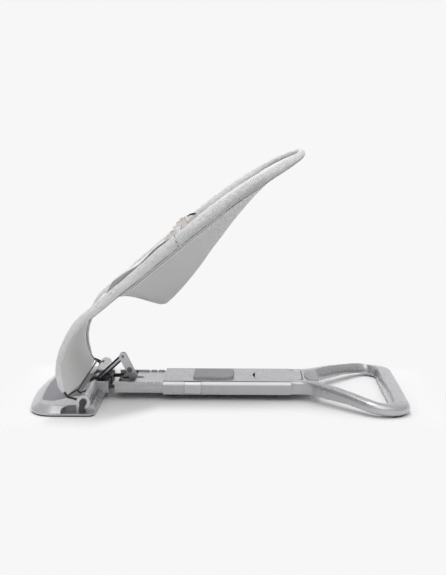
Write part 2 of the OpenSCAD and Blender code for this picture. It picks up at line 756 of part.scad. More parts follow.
module crank_bars() color("black") difference() {
    union() {
        translate([hub_x, 0, hub_height]) rotate([0, -crank_angle, 0]) for (s = [-1, 1])
            translate([0, 0, s * 4]) rotate([0, 90, 0])
                cylinder(h = crank_length, r = crank_gauge / 2);
        rod_y(hub_x, hub_height, 0, crank_hub_radius, 16);
        rod_y(apex_x, apex_z, 0, link_pin_radius + 3.1, 2 * crank_half_y);
    }
    rod_y(hub_x, hub_height, 0, shaft_radius, 40);
    rod_y(apex_x, apex_z, 0, link_pin_radius, 40);
}

module crank_web() color("gray") translate([hub_x, 0, hub_height]) rotate([0, -crank_angle, 0])
    difference() {
        box([crank_hub_radius + 1, -1.2, -4], [crank_length - link_pin_radius - 4, 1.2, 4]);
        for (s = [-1, 1]) translate([0, 0, s * 4]) rotate([0, 90, 0])
            cylinder(h = crank_length, r = crank_gauge / 2);
    }

link_y = crank_half_y + 0.5;

module apex_pin() color("dimgray")
    rod_y(apex_x, apex_z, 0, link_pin_radius, 2 * (link_y + link_plate) + 1);

module link_plates() color("silver") both_sides() difference() {
    translate([apex_x, 0, apex_z]) rotate([0, link_angle, 0])
        across(link_y, link_y + link_plate) union() {
            circle(r = link_width / 2);
            translate([0, -link_width / 2]) square([link_length, link_width]);
            translate([link_length, 0]) circle(r = link_end_radius);
        }
    translate([carriage_x, 0, carriage_pin_height]) link_foot_trim();
    rod_y(apex_x, apex_z, 0, pin_bore, 40);
    rod_y(carriage_x, carriage_pin_height, 0, link_pin_radius, 40);
}

link_end_radius = min(link_width / 2, tube_top_z - carriage_pin_height - 0.5);

// Trims the plates' lower end to the radius that turns inside the channel
module link_foot_trim() rotate([0, link_angle, 0]) difference() {
    box([-link_end_radius, -40, -20], [20, 40, 20]);
    rod_y(0, 0, 0, link_end_radius, 80);
    box([-21, -41, -link_end_radius], [0, 41, link_end_radius]);
}

module link_rivet() color("gray") {
    at = mix([apex_x, apex_z], [carriage_x, carriage_pin_height], 0.56);
    rod_y(at[0], at[1], 0, 3, 2 * link_y);
    both_sides() rod_y(at[0], at[1], link_y + link_plate + rivet_head / 2, 6, rivet_head);
}

drift = 3;
block_top_z = rail_bottom_z + rail_height + drift + 0.1;
cover_thickness = 1.4;
block_front = carriage_x - 37;
block_rear = carriage_x + 17;
rivet_head = 1.2;
fork_half = link_y + link_plate + rivet_head + 0.8;

module carriage_block() color("dimgray") difference() {
    box([block_front, -rail_inner + 0.5, channel_floor_z + drift],
        [block_rear, rail_inner - 0.5, block_top_z]);
    box([block_front - 1, -rail_inner, 30], [block_front + 9, rail_inner, 40]);
    box([block_front - 1, -fork_half, 0], [carriage_x + link_width / 2 + 1, fork_half, 60]);
    rod_y(carriage_x, carriage_pin_height, 0, pin_bore, 2 * pin_reach);
}

pin_reach = 22;

module carriage_pin() color("dimgray")
    rod_y(carriage_x, carriage_pin_height, 0, link_pin_radius, 2 * pin_reach - 1);

module carriage_cover() color("silver") difference() {
    box([carriage_x + 3, -channel_half + 0.4, block_top_z],
        [body_front_x + 6, channel_half - 0.4, block_top_z + cover_thickness]);
    box([carriage_x - 1, -fork_half, 30], [carriage_x + link_width / 2 + 4, fork_half, 60]);
    translate([carriage_x + link_width / 2 + 4, 0, 30]) cylinder(h = 20, r = fork_half);
}

// ---- hub and hoop ----
module hub_shaft() color("dimgray")
    rod_y(hub_x, hub_height, 0, shaft_radius, 2 * disc_inner_y);

module hub_disc() difference() {
    union() {
        rod_y(hub_x, hub_height, (disc_inner_y + disc_outer_y) / 2, disc_radius,
              disc_thickness);
        rod_y(hub_x, hub_height, clip_y + clip_thickness / 2 - 0.4, stub_radius,
              clip_thickness + 0.8);
    }
    translate([hub_x, wire_end_y, hub_height]) rotate([0, -hem_angle, 0])
        rotate([0, 90, 0]) translate([0, 0, 6]) cylinder(h = 20, r = wire_radius);
}

module hub_disc_near() color("silver") mirror([0, 1, 0]) hub_disc();
module hub_disc_far() color("silver") hub_disc();

wire_end_y = (disc_inner_y + disc_outer_y) / 2;
hem_angle = atan2(hem_corner[1], hem_corner[0]);

// Side profile of the hoop, from its lower corner to the neck
panel_curve = [hem_corner, [-62, 0.3 * neck_height], [-50, 0.68 * neck_height], neck];
function seat_point(u, lift) = neck + along * u + above * lift;
function bow(u) = let (k = 2 * u / seat_length - 1) seat_bow * (1 - k * k) * (1 + 0.6 * k);
function hoop_side(u) = seat_point(u, bow(u));
function hoop_half(u) = mix(hoop_low, hoop_high, smooth(u / shoulder_at));

// Stations of one side: [x, half width, z] measured from the hinge axis
panel_stations = [for (t = [0:0.125:0.99]) let (p = bezier(panel_curve, t)) [p[0], hoop_low, p[1]]];
side_stations = [for (k = [0:11]) let (u = shoulder_at * k / 12, p = hoop_side(u))
    [p[0], hoop_half(u), p[1]]];
head_stations = [for (a = [90:-10:0]) let (
        u = mix(shoulder_at, seat_length, cos(a)), p = hoop_side(u))
    [p[0], hoop_half(shoulder_at) * pow(sin(a), 0.8), p[1]]];
half_hoop = concat(panel_stations, side_stations, head_stations);
wire_lead = [for (t = [0.31, 0.46, 0.65, 0.85])
    [hem_corner[0] * t, mix(wire_end_y, hoop_low, smooth((t - 0.46) * 2)), hem_corner[1] * t]];
sleeve_start = bezier(panel_curve, 0.04);
sleeve_stations = concat([[sleeve_start[0], hoop_low, sleeve_start[1]]],
                         [for (i = [1:len(half_hoop) - 1]) half_hoop[i]]);

function to_space(p) = [hub_x + p[0], p[1], hub_height + p[2]];
function whole_hoop(half) = concat([for (p = half) to_space([p[0], -p[1], p[2]])],
                                   [for (i = [len(half) - 2:-1:0]) to_space(half[i])]);

// Rings of an oval tube around a path; thick across the seat's surface, wide along it
function tube_rings(path, wide, thick, sides) = [for (i = [0:len(path) - 1]) let (
        a = path[max(0, i - 1)], b = path[min(len(path) - 1, i + 1)], d = unit(b - a),
        flat = abs(d[0]) + abs(d[2]) < 0.02 ? [along[0], along[1]] : [d[0], d[2]] * (d[2] + 0.6 * d[0] < 0 ? -1 : 1),
        n = unit([-flat[1], 0, flat[0]]), s = unit(cross(d, n)), m = cross(s, d))
    [for (j = [0:sides - 1]) let (g = -360 * j / sides)
        path[i] + wide * cos(g) * s + thick * sin(g) * m]];

module hoop_wire() color("dimgray")
    skin(tube_rings(whole_hoop(concat(wire_lead, half_hoop)), wire_radius, wire_radius, 8));

module rim_sleeve() color("whitesmoke") difference() {
    skin(tube_rings(whole_hoop(sleeve_stations), sleeve_radius, sleeve_radius - 1, 12));
    skin(tube_rings(whole_hoop(concat(wire_lead, half_hoop)), wire_radius + 0.3,
                    wire_radius + 0.3, 8));
}

cross_path = [for (p = [[hem_corner[0], hoop_low - wire_radius - 0.2, hem_corner[1]],
                        [-27, hoop_low - 22, 14], [-20.5, hoop_low - 38, 15.4],
                        [hem_wire[0], hem_wire_half, hem_wire[1]]])
    to_space([p[0], -p[1], p[2]])];
function cross_rings(r) = tube_rings(concat(cross_path,
    [for (p = reversed(cross_path)) [p[0], -p[1], p[2]]]), r, r, 8);

module cross_wire() color("black") {
    skin(cross_rings(cross_wire_radius));
    both_sides() translate([hub_x, hook_y, hub_height]) rotate([0, -hook_angle, 0])
        translate([shaft_radius + 0.05, 0, 0]) rotate([0, 90, 0])
            cylinder(h = norm(hem_wire) - shaft_radius, r = cross_wire_radius);
}

// ---- fabric ----
// Depth of the sling's middle below the line from neck to head
sag_at = 0.233 * seat_length;
function sag(u) = u < sag_at ? pocket_depth * smooth(pow(u / sag_at, 2.37))
    : pocket_depth * pow(cos(90 * pow((u - sag_at) / (seat_length - sag_at), 0.83)), 2.17);
function across_shape(v) = 1 - pow(abs(v), 1.47);
widths = [-1, -0.93, -0.8, -0.6, -0.35, 0, 0.35, 0.6, 0.8, 0.93, 1];

// Edge of the sling, [along, half width], just inside the sleeve
rim_stations = concat([for (k = [0:11]) [max(0.7, shoulder_at * k / 12), hoop_half(shoulder_at * k / 12)]],
    [for (a = [90, 80, 70, 60, 50, 40, 30, 20, 10, 4]) [mix(shoulder_at, seat_length, cos(a)),
                                            hoop_half(shoulder_at) * pow(sin(a), 0.8)]]);
sling_edge = [for (i = [0:len(rim_stations) - 1]) let (
        a = rim_stations[max(0, i - 1)], b = rim_stations[min(len(rim_stations) - 1, i + 1)],
        d = unit(b - a))
    rim_stations[i] + (sleeve_radius + 0.4) * (i == 0 ? [0, -1] : [d[1], -d[0]])];
function sling_point(e, v, lift) = let (
        deep = mix(bow(e[0]) - 3, -sag(e[0]), across_shape(v)),
        p = seat_point(e[0], deep + lift))
    to_space([p[0], v * e[1], p[1]]);

module seat_sling() color("lightgray") skin([for (e = sling_edge) concat(
    [for (v = widths) sling_point(e, v, -sling_thickness / 2)],
    [for (v = reversed(widths)) sling_point(e, v, sling_thickness / 2)])]);

panel_middle = [hem_wire + [-1, 1], [-50, 0.3 * neck_height], [-50, 0.68 * neck_height], neck];
function panel_point(t, v, lift) = let (
        e = bezier(panel_curve, t), m = bezier(panel_middle, t),
        g = 1 - pow(abs(v), 4), p = mix(e, m, g),
        q = bezier(panel_middle, t + 0.01) - m, n = unit([-q[1], q[0]]))
    to_space([p[0] + n[0] * lift, v * (hoop_low - sleeve_radius - 0.4), p[1] + n[1] * lift]);

module leg_panel() color("lightgray") difference() {
    skin([for (t = [0.03, 0.12, 0.24, 0.36, 0.48, 0.6, 0.72, 0.84, 0.93, 0.996]) concat(
        [for (v = widths) panel_point(t, v, -panel_thickness / 2)],
        [for (v = reversed(widths)) panel_point(t, v, panel_thickness / 2)])]);
    skin(cross_rings(cross_wire_radius + 0.3));
}

// Places a flat piece on the seat: x along it, y across, z above the neck-head line
module on_seat() {
    translate(to_space([neck[0], 0, neck[1]])) rotate([0, -seat_slope, 0]) children();
}

bib_lift = 13;
buckle_lift = bib_lift + bib_thickness / 2 + buckle_raise;
bib_start = 46;
bib_end = 232;
buckle_at = 254;
buckle_y = bib_half_width + buckle_width / 2 + 8;

module harness_bib() color("lightgray") on_seat() {
    translate([0, 0, bib_lift]) linear_extrude(bib_thickness) polygon(rounded(
        [[bib_start, -crotch_half_width], [bib_start + 70, -crotch_half_width - 6],
         [bib_end - 20, -bib_half_width], [bib_end + 16, -bib_half_width],
         [bib_end - 8, 0], [bib_end + 16, bib_half_width], [bib_end - 20, bib_half_width],
         [bib_start + 70, crotch_half_width + 6], [bib_start, crotch_half_width]],
        [0, 60, 12, 6, 150, 6, 12, 60, 0], 5));
    // the crotch strap meets the sling between its first two stations
    box([bib_start, -crotch_half_width, sling_thickness / 2 + 0.6
         - mix(sag(shoulder_at / 12), sag(shoulder_at / 6), 12 * bib_start / shoulder_at - 1)],
        [bib_start + bib_thickness, crotch_half_width, bib_lift + bib_thickness / 2]);
}

module buckle() translate([buckle_at, buckle_y, buckle_lift]) difference() {
    translate([0, 0, -buckle_thickness / 2]) linear_extrude(buckle_thickness)
        polygon(rounded([[-buckle_length / 2, -buckle_width / 2], [buckle_length / 2, -buckle_width / 2],
                         [buckle_length / 2, buckle_width / 2], [-buckle_length / 2, buckle_width / 2]],
                        [6, 6, 6, 6], 4));
    // slot that takes the tongue, and the well for the button
    box([-8, -buckle_width, -1.6], [8, 0, 1.6]);
    translate([0, buckle_width / 4, 0]) cylinder(h = buckle_thickness, r = 4.4);
}

module buckle_near() color("tan") on_seat() mirror([0, 1, 0]) buckle();
module buckle_far() color("tan") on_seat() buckle();

module buckle_tongues() color("tan") on_seat() both_sides()
    translate([buckle_at, buckle_y, buckle_lift]) {
        box([-7, -buckle_width / 2 - 7.7, -1.2], [7, -0.6, 1.2]);
        // strap that rises from the edge of the bib
        box([-26, -buckle_width / 2 - 7.7, -buckle_raise - bib_thickness / 2],
            [7, -buckle_width / 2 - 5.7, 1.2]);
    }

module buckle_button() translate([buckle_at, buckle_y + buckle_width / 4, buckle_lift + 2.6])
    cylinder(h = buckle_thickness / 2 - 1.6, r = 4);

module buckle_button_near() color("gray") on_seat() mirror([0, 1, 0]) buckle_button();
module buckle_button_far() color("gray") on_seat() buckle_button();

rear_body_shell();
rear_bottom_plate();
rear_loop();
loop_pads();
release_pad();
pad_springs();
side_button_near();
side_button_far();
lever_plate();
lever_pin();
lever_bracket();
grip_insert();
latch_bridge();
beam_feet();
body_screws();
foot_shell();
hub_barrel();
foot_bottom_plate();
foot_sole();
foot_inset();
recess_liners();
slot_liners();
hub_bushes();
pivot_clip_near();
pivot_clip_far();
neck_channel();
guide_rails();
channel_ramps();
inner_tube();
foot_screws();
hub_shaft();
hub_disc_near();
hub_disc_far();
crank_bars();
crank_web();
apex_pin();
hoop_wire();
cross_wire();
rim_sleeve();
seat_sling();
leg_panel();
harness_bib();
buckle_near();
buckle_far();
buckle_tongues();
buckle_button_near();
buckle_button_far();
link_plates();
link_rivet();
carriage_block();
carriage_cover();
carriage_pin();
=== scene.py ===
"""Dresses the bouncer seat: cloth, cast metal, rubber, plastics, floor, light and camera."""
import math

import bmesh
import bpy
from bpy.props import FloatProperty, FloatVectorProperty, PointerProperty
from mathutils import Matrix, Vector, noise


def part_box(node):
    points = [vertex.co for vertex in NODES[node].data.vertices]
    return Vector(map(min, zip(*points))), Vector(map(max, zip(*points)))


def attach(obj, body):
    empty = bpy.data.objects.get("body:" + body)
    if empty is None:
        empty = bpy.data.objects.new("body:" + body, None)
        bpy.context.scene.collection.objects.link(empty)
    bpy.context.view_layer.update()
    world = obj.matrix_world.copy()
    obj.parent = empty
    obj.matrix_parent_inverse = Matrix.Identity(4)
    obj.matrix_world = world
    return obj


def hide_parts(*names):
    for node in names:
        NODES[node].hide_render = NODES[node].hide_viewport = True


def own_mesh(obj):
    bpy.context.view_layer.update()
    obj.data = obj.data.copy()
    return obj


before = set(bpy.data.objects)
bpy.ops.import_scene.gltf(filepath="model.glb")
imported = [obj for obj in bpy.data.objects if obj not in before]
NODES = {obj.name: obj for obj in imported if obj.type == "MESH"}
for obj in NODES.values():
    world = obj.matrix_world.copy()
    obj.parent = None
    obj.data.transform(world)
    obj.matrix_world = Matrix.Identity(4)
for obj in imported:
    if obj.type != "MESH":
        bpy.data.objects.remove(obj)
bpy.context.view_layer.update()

bl_info = {
    "name": "Bouncer seat",
    "version": (1, 0, 0),
    "blender": (4, 5, 0),
    "location": "View3D > Sidebar > Bouncer seat",
    "description": "Builds the cloth, metal and plastic finish of a folding bouncer seat",
    "category": "Object",
}

# ---------------------------------------------------------------- sizes and colours

MM = 0.001  # one millimetre in the metres of the scene
SIDES = (("near", -1), ("far", 1))


def length(name, description, default):
    return FloatProperty(name=name, description=description, default=default, min=0.0,
                         max=1.0, unit="LENGTH", precision=4)


def colour(name, description, default):
    return FloatVectorProperty(name=name, description=description, default=default,
                               subtype="COLOR", size=3, min=0.0, max=1.0)


class BouncerSizes(bpy.types.PropertyGroup):
    """Sizes of the seat's soft parts"""
    sleeve_radius: length("Sleeve radius", "Greatest half width of the padded sleeve", 0.0123)
    rib_pitch: length("Rib pitch", "Distance between the sleeve's gathered ribs", 0.0037)
    rib_depth: length("Rib depth", "Height of the sleeve's gathered ribs", 0.00050)
    pocket_depth: length("Pocket depth", "Depth of the seat pocket below the rim", 0.087)
    sling_thickness: length("Sling thickness", "Thickness of the padded sling", 0.0056)
    panel_thickness: length("Panel thickness", "Thickness of the leg panel", 0.0038)
    bib_thickness: length("Bib thickness", "Thickness of the harness bib", 0.0046)
    wire_radius: length("Wire radius", "Radius of the hoop wire", 0.0025)


class BouncerColours(bpy.types.PropertyGroup):
    """Colours of the seat's finishes"""
    cast: colour("Cast metal", "Satin paint on the cast base", (0.425, 0.427, 0.441))
    bright: colour("Bright metal", "Bare satin metal of the links and buttons",
                   (0.50, 0.503, 0.52))
    dark: colour("Dark metal", "Blackened crank bars and hem wire", (0.008, 0.008, 0.009))
    sling: colour("Sling", "Plain cloth under the pocket", (0.50, 0.50, 0.505))
    melange: colour("Melange", "Light cloth of the sleeve, bib and upper side", (0.74, 0.74, 0.75))
    panel: colour("Leg panel", "Shade of the leg panel's inner cloth", (0.72, 0.71, 0.705))
    rubber: colour("Rubber", "Grey rubber of the release pad and foot plate", (0.36, 0.36, 0.37))
    black: colour("Black rubber", "Black soles and pads", (0.012, 0.012, 0.012))
    plastic: colour("Dark plastic", "Dark moulded plastic", (0.030, 0.030, 0.032))
    buckle: colour("Buckle", "Warm grey buckles", (0.66, 0.625, 0.60))
    floor: colour("Floor", "Pale floor and backdrop", (0.93, 0.93, 0.93))


# ---------------------------------------------------------------- shader node groups


def new_group(name, inputs, outputs):
    group = bpy.data.node_groups.new(name, "ShaderNodeTree")
    for label, kind, default in inputs:
        socket = group.interface.new_socket(label, in_out="INPUT", socket_type=kind)
        socket.default_value = default
    for label, kind in outputs:
        group.interface.new_socket(label, in_out="OUTPUT", socket_type=kind)
    return group, group.nodes.new("NodeGroupInput"), group.nodes.new("NodeGroupOutput")


class Tree:
    """Short way to add and link shader nodes"""

    def __init__(self, tree):
        self.tree = tree

    def node(self, kind, **values):
        made = self.tree.nodes.new("ShaderNode" + kind)
        for key, value in values.items():
            setattr(made, key, value)
        return made

    def join(self, source, target):
        self.tree.links.new(source, target)

    def put(self, socket, value):
        if isinstance(value, bpy.types.NodeSocket):
            self.join(value, socket)
        elif value is not None:
            socket.default_value = value

    def math(self, operation, a, b=None, clamp=False):
        made = self.node("Math", operation=operation, use_clamp=clamp)
        self.put(made.inputs[0], a)
        self.put(made.inputs[1], b)
        return made.outputs[0]

    def spread(self, value, low, high, to_low=0.0, to_high=1.0):
        made = self.node("MapRange")
        for index, item in enumerate((value, low, high, to_low, to_high)):
            self.put(made.inputs[index], item)
        return made.outputs[0]

    def blend(self, factor, a, b):
        made = self.node("Mix", data_type="RGBA")
        self.put(made.inputs[0], factor)
        self.put(made.inputs[6], a)
        self.put(made.inputs[7], b)
        return made.outputs[2]

    def parts(self, vector):
        """The X, Y and Z of a vector"""
        made = self.node("SeparateXYZ")
        self.join(vector, made.inputs[0])
        return made.outputs

    def noise(self, where, scale, detail=2.0, rough=0.5):
        made = self.node("TexNoise")
        self.put(made.inputs["Vector"], where)
        self.put(made.inputs["Scale"], scale)
        made.inputs["Detail"].default_value = detail
        made.inputs["Roughness"].default_value = rough
        return made.outputs["Fac"]


# Pointiness at which an edge starts to show wear, or a crease to darken with painted shade, and is
# full
CONVEX = (0.54, 0.62)
CREASE_SHADE_POINTINESS = (0.455, 0.40)
RIB_WAVER_SCALE = 140.0
FLECK_STRETCH = (1.0, 0.35, 1.0)


def grain_group():
    """Fine grain: a height for bump and a slow mottle for gloss and colour"""
    group, entry, leave = new_group(
        "Surface grain",
        [("Grain size", "NodeSocketFloat", 0.0008), ("Mottle size", "NodeSocketFloat", 0.05)],
        [("Height", "NodeSocketFloat"), ("Mottle", "NodeSocketFloat")])
    t = Tree(group)
    where = t.node("TexCoord").outputs["Object"]
    fine = t.math("DIVIDE", 1.0, entry.outputs["Grain size"])
    slow = t.math("DIVIDE", 1.0, entry.outputs["Mottle size"])
    t.join(t.noise(where, fine, 3.0, 0.6), leave.inputs["Height"])
    t.join(t.spread(t.noise(where, slow, 4.0, 0.6), 0.3, 0.7), leave.inputs["Mottle"])
    return group


def wear_and_crease_shade_group():
    """Wear and painted shade: Edge is 1 on worn convex edges, broken up by noise; Crease shade is
    1 in creases and paints shade there
    """
    group, entry, leave = new_group(
        "Edge wear",
        [("Amount", "NodeSocketFloat", 0.5), ("Patch size", "NodeSocketFloat", 0.01)],
        [("Edge", "NodeSocketFloat"), ("Hollow", "NodeSocketFloat")])
    t = Tree(group)
    where = t.node("TexCoord").outputs["Object"]
    sharp = t.node("NewGeometry").outputs["Pointiness"]
    patch = t.noise(where, t.math("DIVIDE", 1.0, entry.outputs["Patch size"]), 3.0, 0.6)
    edge = t.spread(sharp, *CONVEX)
    broken = t.math("MULTIPLY", edge, t.spread(patch, 0.35, 0.65))
    t.join(t.math("MULTIPLY", broken, entry.outputs["Amount"], True), leave.inputs["Edge"])
    t.join(t.spread(sharp, *CREASE_SHADE_POINTINESS), leave.inputs["Hollow"])
    return group


def weave_group():
    """Plain weave mixed with ribs, from UV lengths in metres: its height and a fleck mask"""
    group, entry, leave = new_group(
        "Cloth weave",
        [("Thread pitch", "NodeSocketFloat", 0.0012), ("Rib pitch", "NodeSocketFloat", 0.0048),
         ("Rib share", "NodeSocketFloat", 0.0), ("Fleck size", "NodeSocketFloat", 0.004)],
        [("Height", "NodeSocketFloat"), ("Fleck", "NodeSocketFloat")])
    t = Tree(group)
    uv = t.node("UVMap")
    split = t.parts(uv.outputs["UV"])
    turn = t.math("DIVIDE", 2 * math.pi, entry.outputs["Thread pitch"])
    warp = t.math("SINE", t.math("MULTIPLY", split["X"], turn))
    weft = t.math("SINE", t.math("MULTIPLY", split["Y"], turn))
    threads = t.math("ADD", t.math("MULTIPLY", t.math("MULTIPLY", warp, weft), 0.5), 0.5)
    waver = t.math("MULTIPLY", t.noise(uv.outputs["UV"], RIB_WAVER_SCALE), 3.0)
    rib_turn = t.math("DIVIDE", 2 * math.pi, entry.outputs["Rib pitch"])
    rib = t.math("SINE", t.math("ADD", t.math("MULTIPLY", split["Y"], rib_turn), waver))
    rib = t.math("ADD", t.math("MULTIPLY", rib, 0.5), 0.5)
    mixed = t.node("Mix", data_type="FLOAT")
    t.put(mixed.inputs[0], entry.outputs["Rib share"])
    t.put(mixed.inputs[2], threads)
    t.put(mixed.inputs[3], rib)
    t.join(mixed.outputs[0], leave.inputs["Height"])
    stretch = t.node("Mapping")
    stretch.inputs["Scale"].default_value = FLECK_STRETCH
    t.join(uv.outputs["UV"], stretch.inputs["Vector"])
    fleck = t.noise(stretch.outputs[0], t.math("DIVIDE", 1.0, entry.outputs["Fleck size"]), 4.0,
                    0.7)
    t.join(t.spread(fleck, 0.36, 0.64), leave.inputs["Fleck"])
    return group


GROUPS = {}


def place_group(t, key, **values):
    """Places a shared group in a material with its own values"""
    if key not in GROUPS:
        GROUPS[key] = {"grain": grain_group, "wear": wear_and_crease_shade_group, "weave": weave_group}[key]()
    made = t.node("Group")
    made.node_tree = GROUPS[key]
    for label, value in values.items():
        t.put(made.inputs[label.replace("_", " ")], value)
    return made


def new_material(name, roughness, metallic=0.0, sheen=0.0, specular=0.5):
    """A material with its tree and its surface shader"""
    made = bpy.data.materials.new(name)
    made.use_nodes = True
    shader = made.node_tree.nodes["Principled BSDF"]
    for label, value in (("Roughness", roughness), ("Metallic", metallic),
                         ("Sheen Weight", sheen), ("Sheen Roughness", 0.6),
                         ("Specular IOR Level", specular)):
        shader.inputs[label].default_value = value
    return made, Tree(made.node_tree), shader


def bump(t, shader, height, distance, strength):
    made = t.node("Bump")
    made.inputs["Strength"].default_value = strength
    made.inputs["Distance"].default_value = distance
    t.join(height, made.inputs["Height"])
    t.join(made.outputs[0], shader.inputs["Normal"])


def rgba(value, scale=1.0):
    return (value[0] * scale, value[1] * scale, value[2] * scale, 1.0)


METAL_GRAIN, METAL_GRAIN_DEPTH = 0.0006, 0.00001


def metal_material(name, base, roughness, metallic, wear=0.06, hollow=0.5):
    """Satin painted or bare metal with fine grain, rubbed edges and painted shade in its creases
    """
    made, t, shader = new_material(name, roughness, metallic)
    g = place_group(t, "grain", Grain_size=METAL_GRAIN, Mottle_size=0.06)
    w = place_group(t, "wear", Amount=wear, Patch_size=0.012)
    body = t.blend(g.outputs["Mottle"], rgba(base, 0.98), rgba(base, 1.02))
    body = t.blend(t.spread(g.outputs["Height"], 0.3, 0.7, 0.0, 0.03), body, rgba(base, 1.45))
    rubbed = t.blend(w.outputs["Edge"], body, rgba(base, 1.35))
    # painted shade: creases darken toward 0.3 of the base colour
    t.join(t.blend(t.math("MULTIPLY", w.outputs["Hollow"], hollow), rubbed, rgba(base, 0.3)),
           shader.inputs["Base Color"])
    rough = t.spread(g.outputs["Mottle"], 0.0, 1.0, roughness - 0.035, roughness + 0.035)
    t.join(t.math("SUBTRACT", rough, t.math("MULTIPLY", w.outputs["Edge"], 0.1)),
           shader.inputs["Roughness"])
    bump(t, shader, g.outputs["Height"], METAL_GRAIN_DEPTH, 0.7)
    return made


def moulded_material(name, base, roughness, grain=0.0009, depth=0.00008, ribs=0.0):
    """Moulded plastic or rubber with a fine texture"""
    made, t, shader = new_material(name, roughness)
    g = place_group(t, "grain", Grain_size=grain, Mottle_size=0.03)
    w = place_group(t, "wear", Amount=0.3, Patch_size=0.008)
    body = t.blend(g.outputs["Mottle"], rgba(base, 0.90), rgba(base, 1.10))
    t.join(t.blend(w.outputs["Edge"], body, rgba(base, 1.7)), shader.inputs["Base Color"])
    t.join(t.spread(g.outputs["Mottle"], 0.0, 1.0, roughness - 0.06, roughness + 0.06),
           shader.inputs["Roughness"])
    height = g.outputs["Height"]
    if ribs:
        where = t.parts(t.node("TexCoord").outputs["Object"])
        wave = t.math("SINE", t.math("MULTIPLY", where["Y"], 2 * math.pi / ribs))
        height = t.math("ADD", t.math("MULTIPLY", wave, 3.0), height)
    bump(t, shader, height, depth, 0.8)
    return made


def cloth_material(name, base, rib_share=0.0, fleck=0.12, thread=0.0011, rib=0.0048,
                   depth=0.00018, groove_shade=0.22, under=0.0):
    """Woven melange cloth with a soft sheen and painted shade in its weave's grooves; under paints
    shade on its lower side along the back
    """
    made, t, shader = new_material(name, 0.92, sheen=0.12, specular=0.2)
    w = place_group(t, "weave", Thread_pitch=thread, Rib_pitch=rib, Rib_share=rib_share,
                    Fleck_size=0.0035)
    body = t.blend(w.outputs["Fleck"], rgba(base, 1.0 - fleck), rgba(base, 1.0 + 0.4 * fleck))
    # painted shade: the grooves of the weave and ribs darken toward 0.55 of the base
    shaded = t.blend(t.math("MULTIPLY", t.math("SUBTRACT", 1.0, w.outputs["Height"]), groove_shade),
                     body, rgba(base, 0.55))
    # painted shade: the downward-facing side darkens toward 0.42 of the base, more along the back
    if under:
        where = t.node("TexCoord").outputs
        turn, along = t.parts(where["Normal"]), t.parts(where["Object"])
        low = t.math("MULTIPLY", t.spread(turn["Z"], 0.22, -0.38),
                     t.spread(along["X"], -0.16, 0.02, 0.25, under))
        shaded = t.blend(low, shaded, rgba(base, 0.42))
    t.join(shaded, shader.inputs["Base Color"])
    t.join(t.spread(w.outputs["Fleck"], 0.0, 1.0, 0.86, 0.97), shader.inputs["Roughness"])
    bump(t, shader, w.outputs["Height"], depth, 0.9)
    return made


# finish: its maker, its name, a colour or the name of a colour property, and its values
FINISHES = {
    "cast": (metal_material, "Satin cast paint", "cast", (0.28, 0.8), dict(wear=0.0, hollow=0.0)),
    "bright": (metal_material, "Bare satin metal", "bright", (0.30, 0.85), {}),
    "dark_metal": (metal_material, "Blackened steel", "dark", (0.5, 0.0), dict(wear=0.2)),
    "steel": (metal_material, "Turned steel", (0.42, 0.42, 0.43), (0.3, 0.95), dict(wear=0.2)),
    "rivet": (metal_material, "Dark rivet steel", (0.15, 0.15, 0.155), (0.35, 0.9), {}),
    "plastic": (moulded_material, "Dark plastic", "plastic", (0.48,), {}),
    "grey_plastic": (moulded_material, "Grey plastic", (0.12, 0.12, 0.125), (0.5,), {}),
    "rubber": (moulded_material, "Grey rubber", "rubber", (0.62,),
               dict(grain=0.0014, depth=0.00015)),
    "grip": (moulded_material, "Ribbed grip", (0.33, 0.33, 0.335), (0.5,),
             dict(ribs=0.004, depth=0.0002)),
    "inset": (moulded_material, "Foot inset rubber", (0.22, 0.22, 0.235), (0.75,),
              dict(grain=0.0014, depth=0.00012)),
    "liner": (moulded_material, "Recess liner plastic", (0.15, 0.15, 0.16), (0.5,), {}),
    "black": (moulded_material, "Black rubber", "black", (0.7,), {}),
    "buckle": (moulded_material, "Buckle plastic", "buckle", (0.38,),
               dict(grain=0.0006, depth=0.00004)),
    "button": (moulded_material, "Buckle button plastic", (0.16, 0.14, 0.13), (0.4,), {}),
    "sling": (cloth_material, "Plain sling cloth", "sling", (), dict(fleck=0.05, depth=0.0001)),
    "melange": (cloth_material, "Melange cloth", "melange", (0.3,), {}),
    # under paints shade on the sleeve's lower side
    "sleeve": (cloth_material, "Ribbed sleeve cloth", "melange", (0.6,),
               dict(fleck=0.2, rib=0.0037, depth=0.0004, groove_shade=0.5, under=0.8)),
    "panel": (cloth_material, "Leg panel cloth", "panel", (0.15,), dict(fleck=0.07)),
    "thread_light": (cloth_material, "Light thread", (0.86, 0.86, 0.86), (),
                     dict(thread=0.0006, fleck=0.05)),
    "tape": (cloth_material, "Edge tape", (0.13, 0.13, 0.135), (),
             dict(thread=0.0009, fleck=0.2)),
    # grey that paints the shade under the bib's sides
    "gusset": (cloth_material, "Gusset cloth", (0.36, 0.36, 0.375), (), dict(fleck=0.08)),
    "webbing": (cloth_material, "Black webbing", (0.012, 0.012, 0.013), (),
                dict(thread=0.0012, fleck=0.2)),
}
MATERIALS = {}


def material(key):
    """The material of a finish, built when it is first asked for"""
    if key not in MATERIALS:
        maker, name, base, values, more = FINISHES[key]
        if isinstance(base, str):
            base = getattr(bpy.context.scene.bouncer_colours, base)
        MATERIALS[key] = maker(name, base, *values, **more)
    return MATERIALS[key]


# ---------------------------------------------------------------- mesh helpers


def mm(*values):
    """A vector in metres from millimetres"""
    return Vector([v * MM for v in values])


def mix(a, b, t):
    return a + (b - a) * t


def clamp01(t):
    return max(0.0, min(1.0, t))


def smooth(t):
    c = clamp01(t)
    return c * c * (3 - 2 * c)


def add_piece(name, mesh, body, replaces=()):
    """Shades a mesh smooth and adds it as a piece that moves with its body"""
    for poly in mesh.polygons:
        poly.use_smooth = True
    made = bpy.data.objects.new(name, mesh)
    bpy.context.scene.collection.objects.link(made)
    if replaces:
        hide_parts(*replaces)
    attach(made, body)
    return made


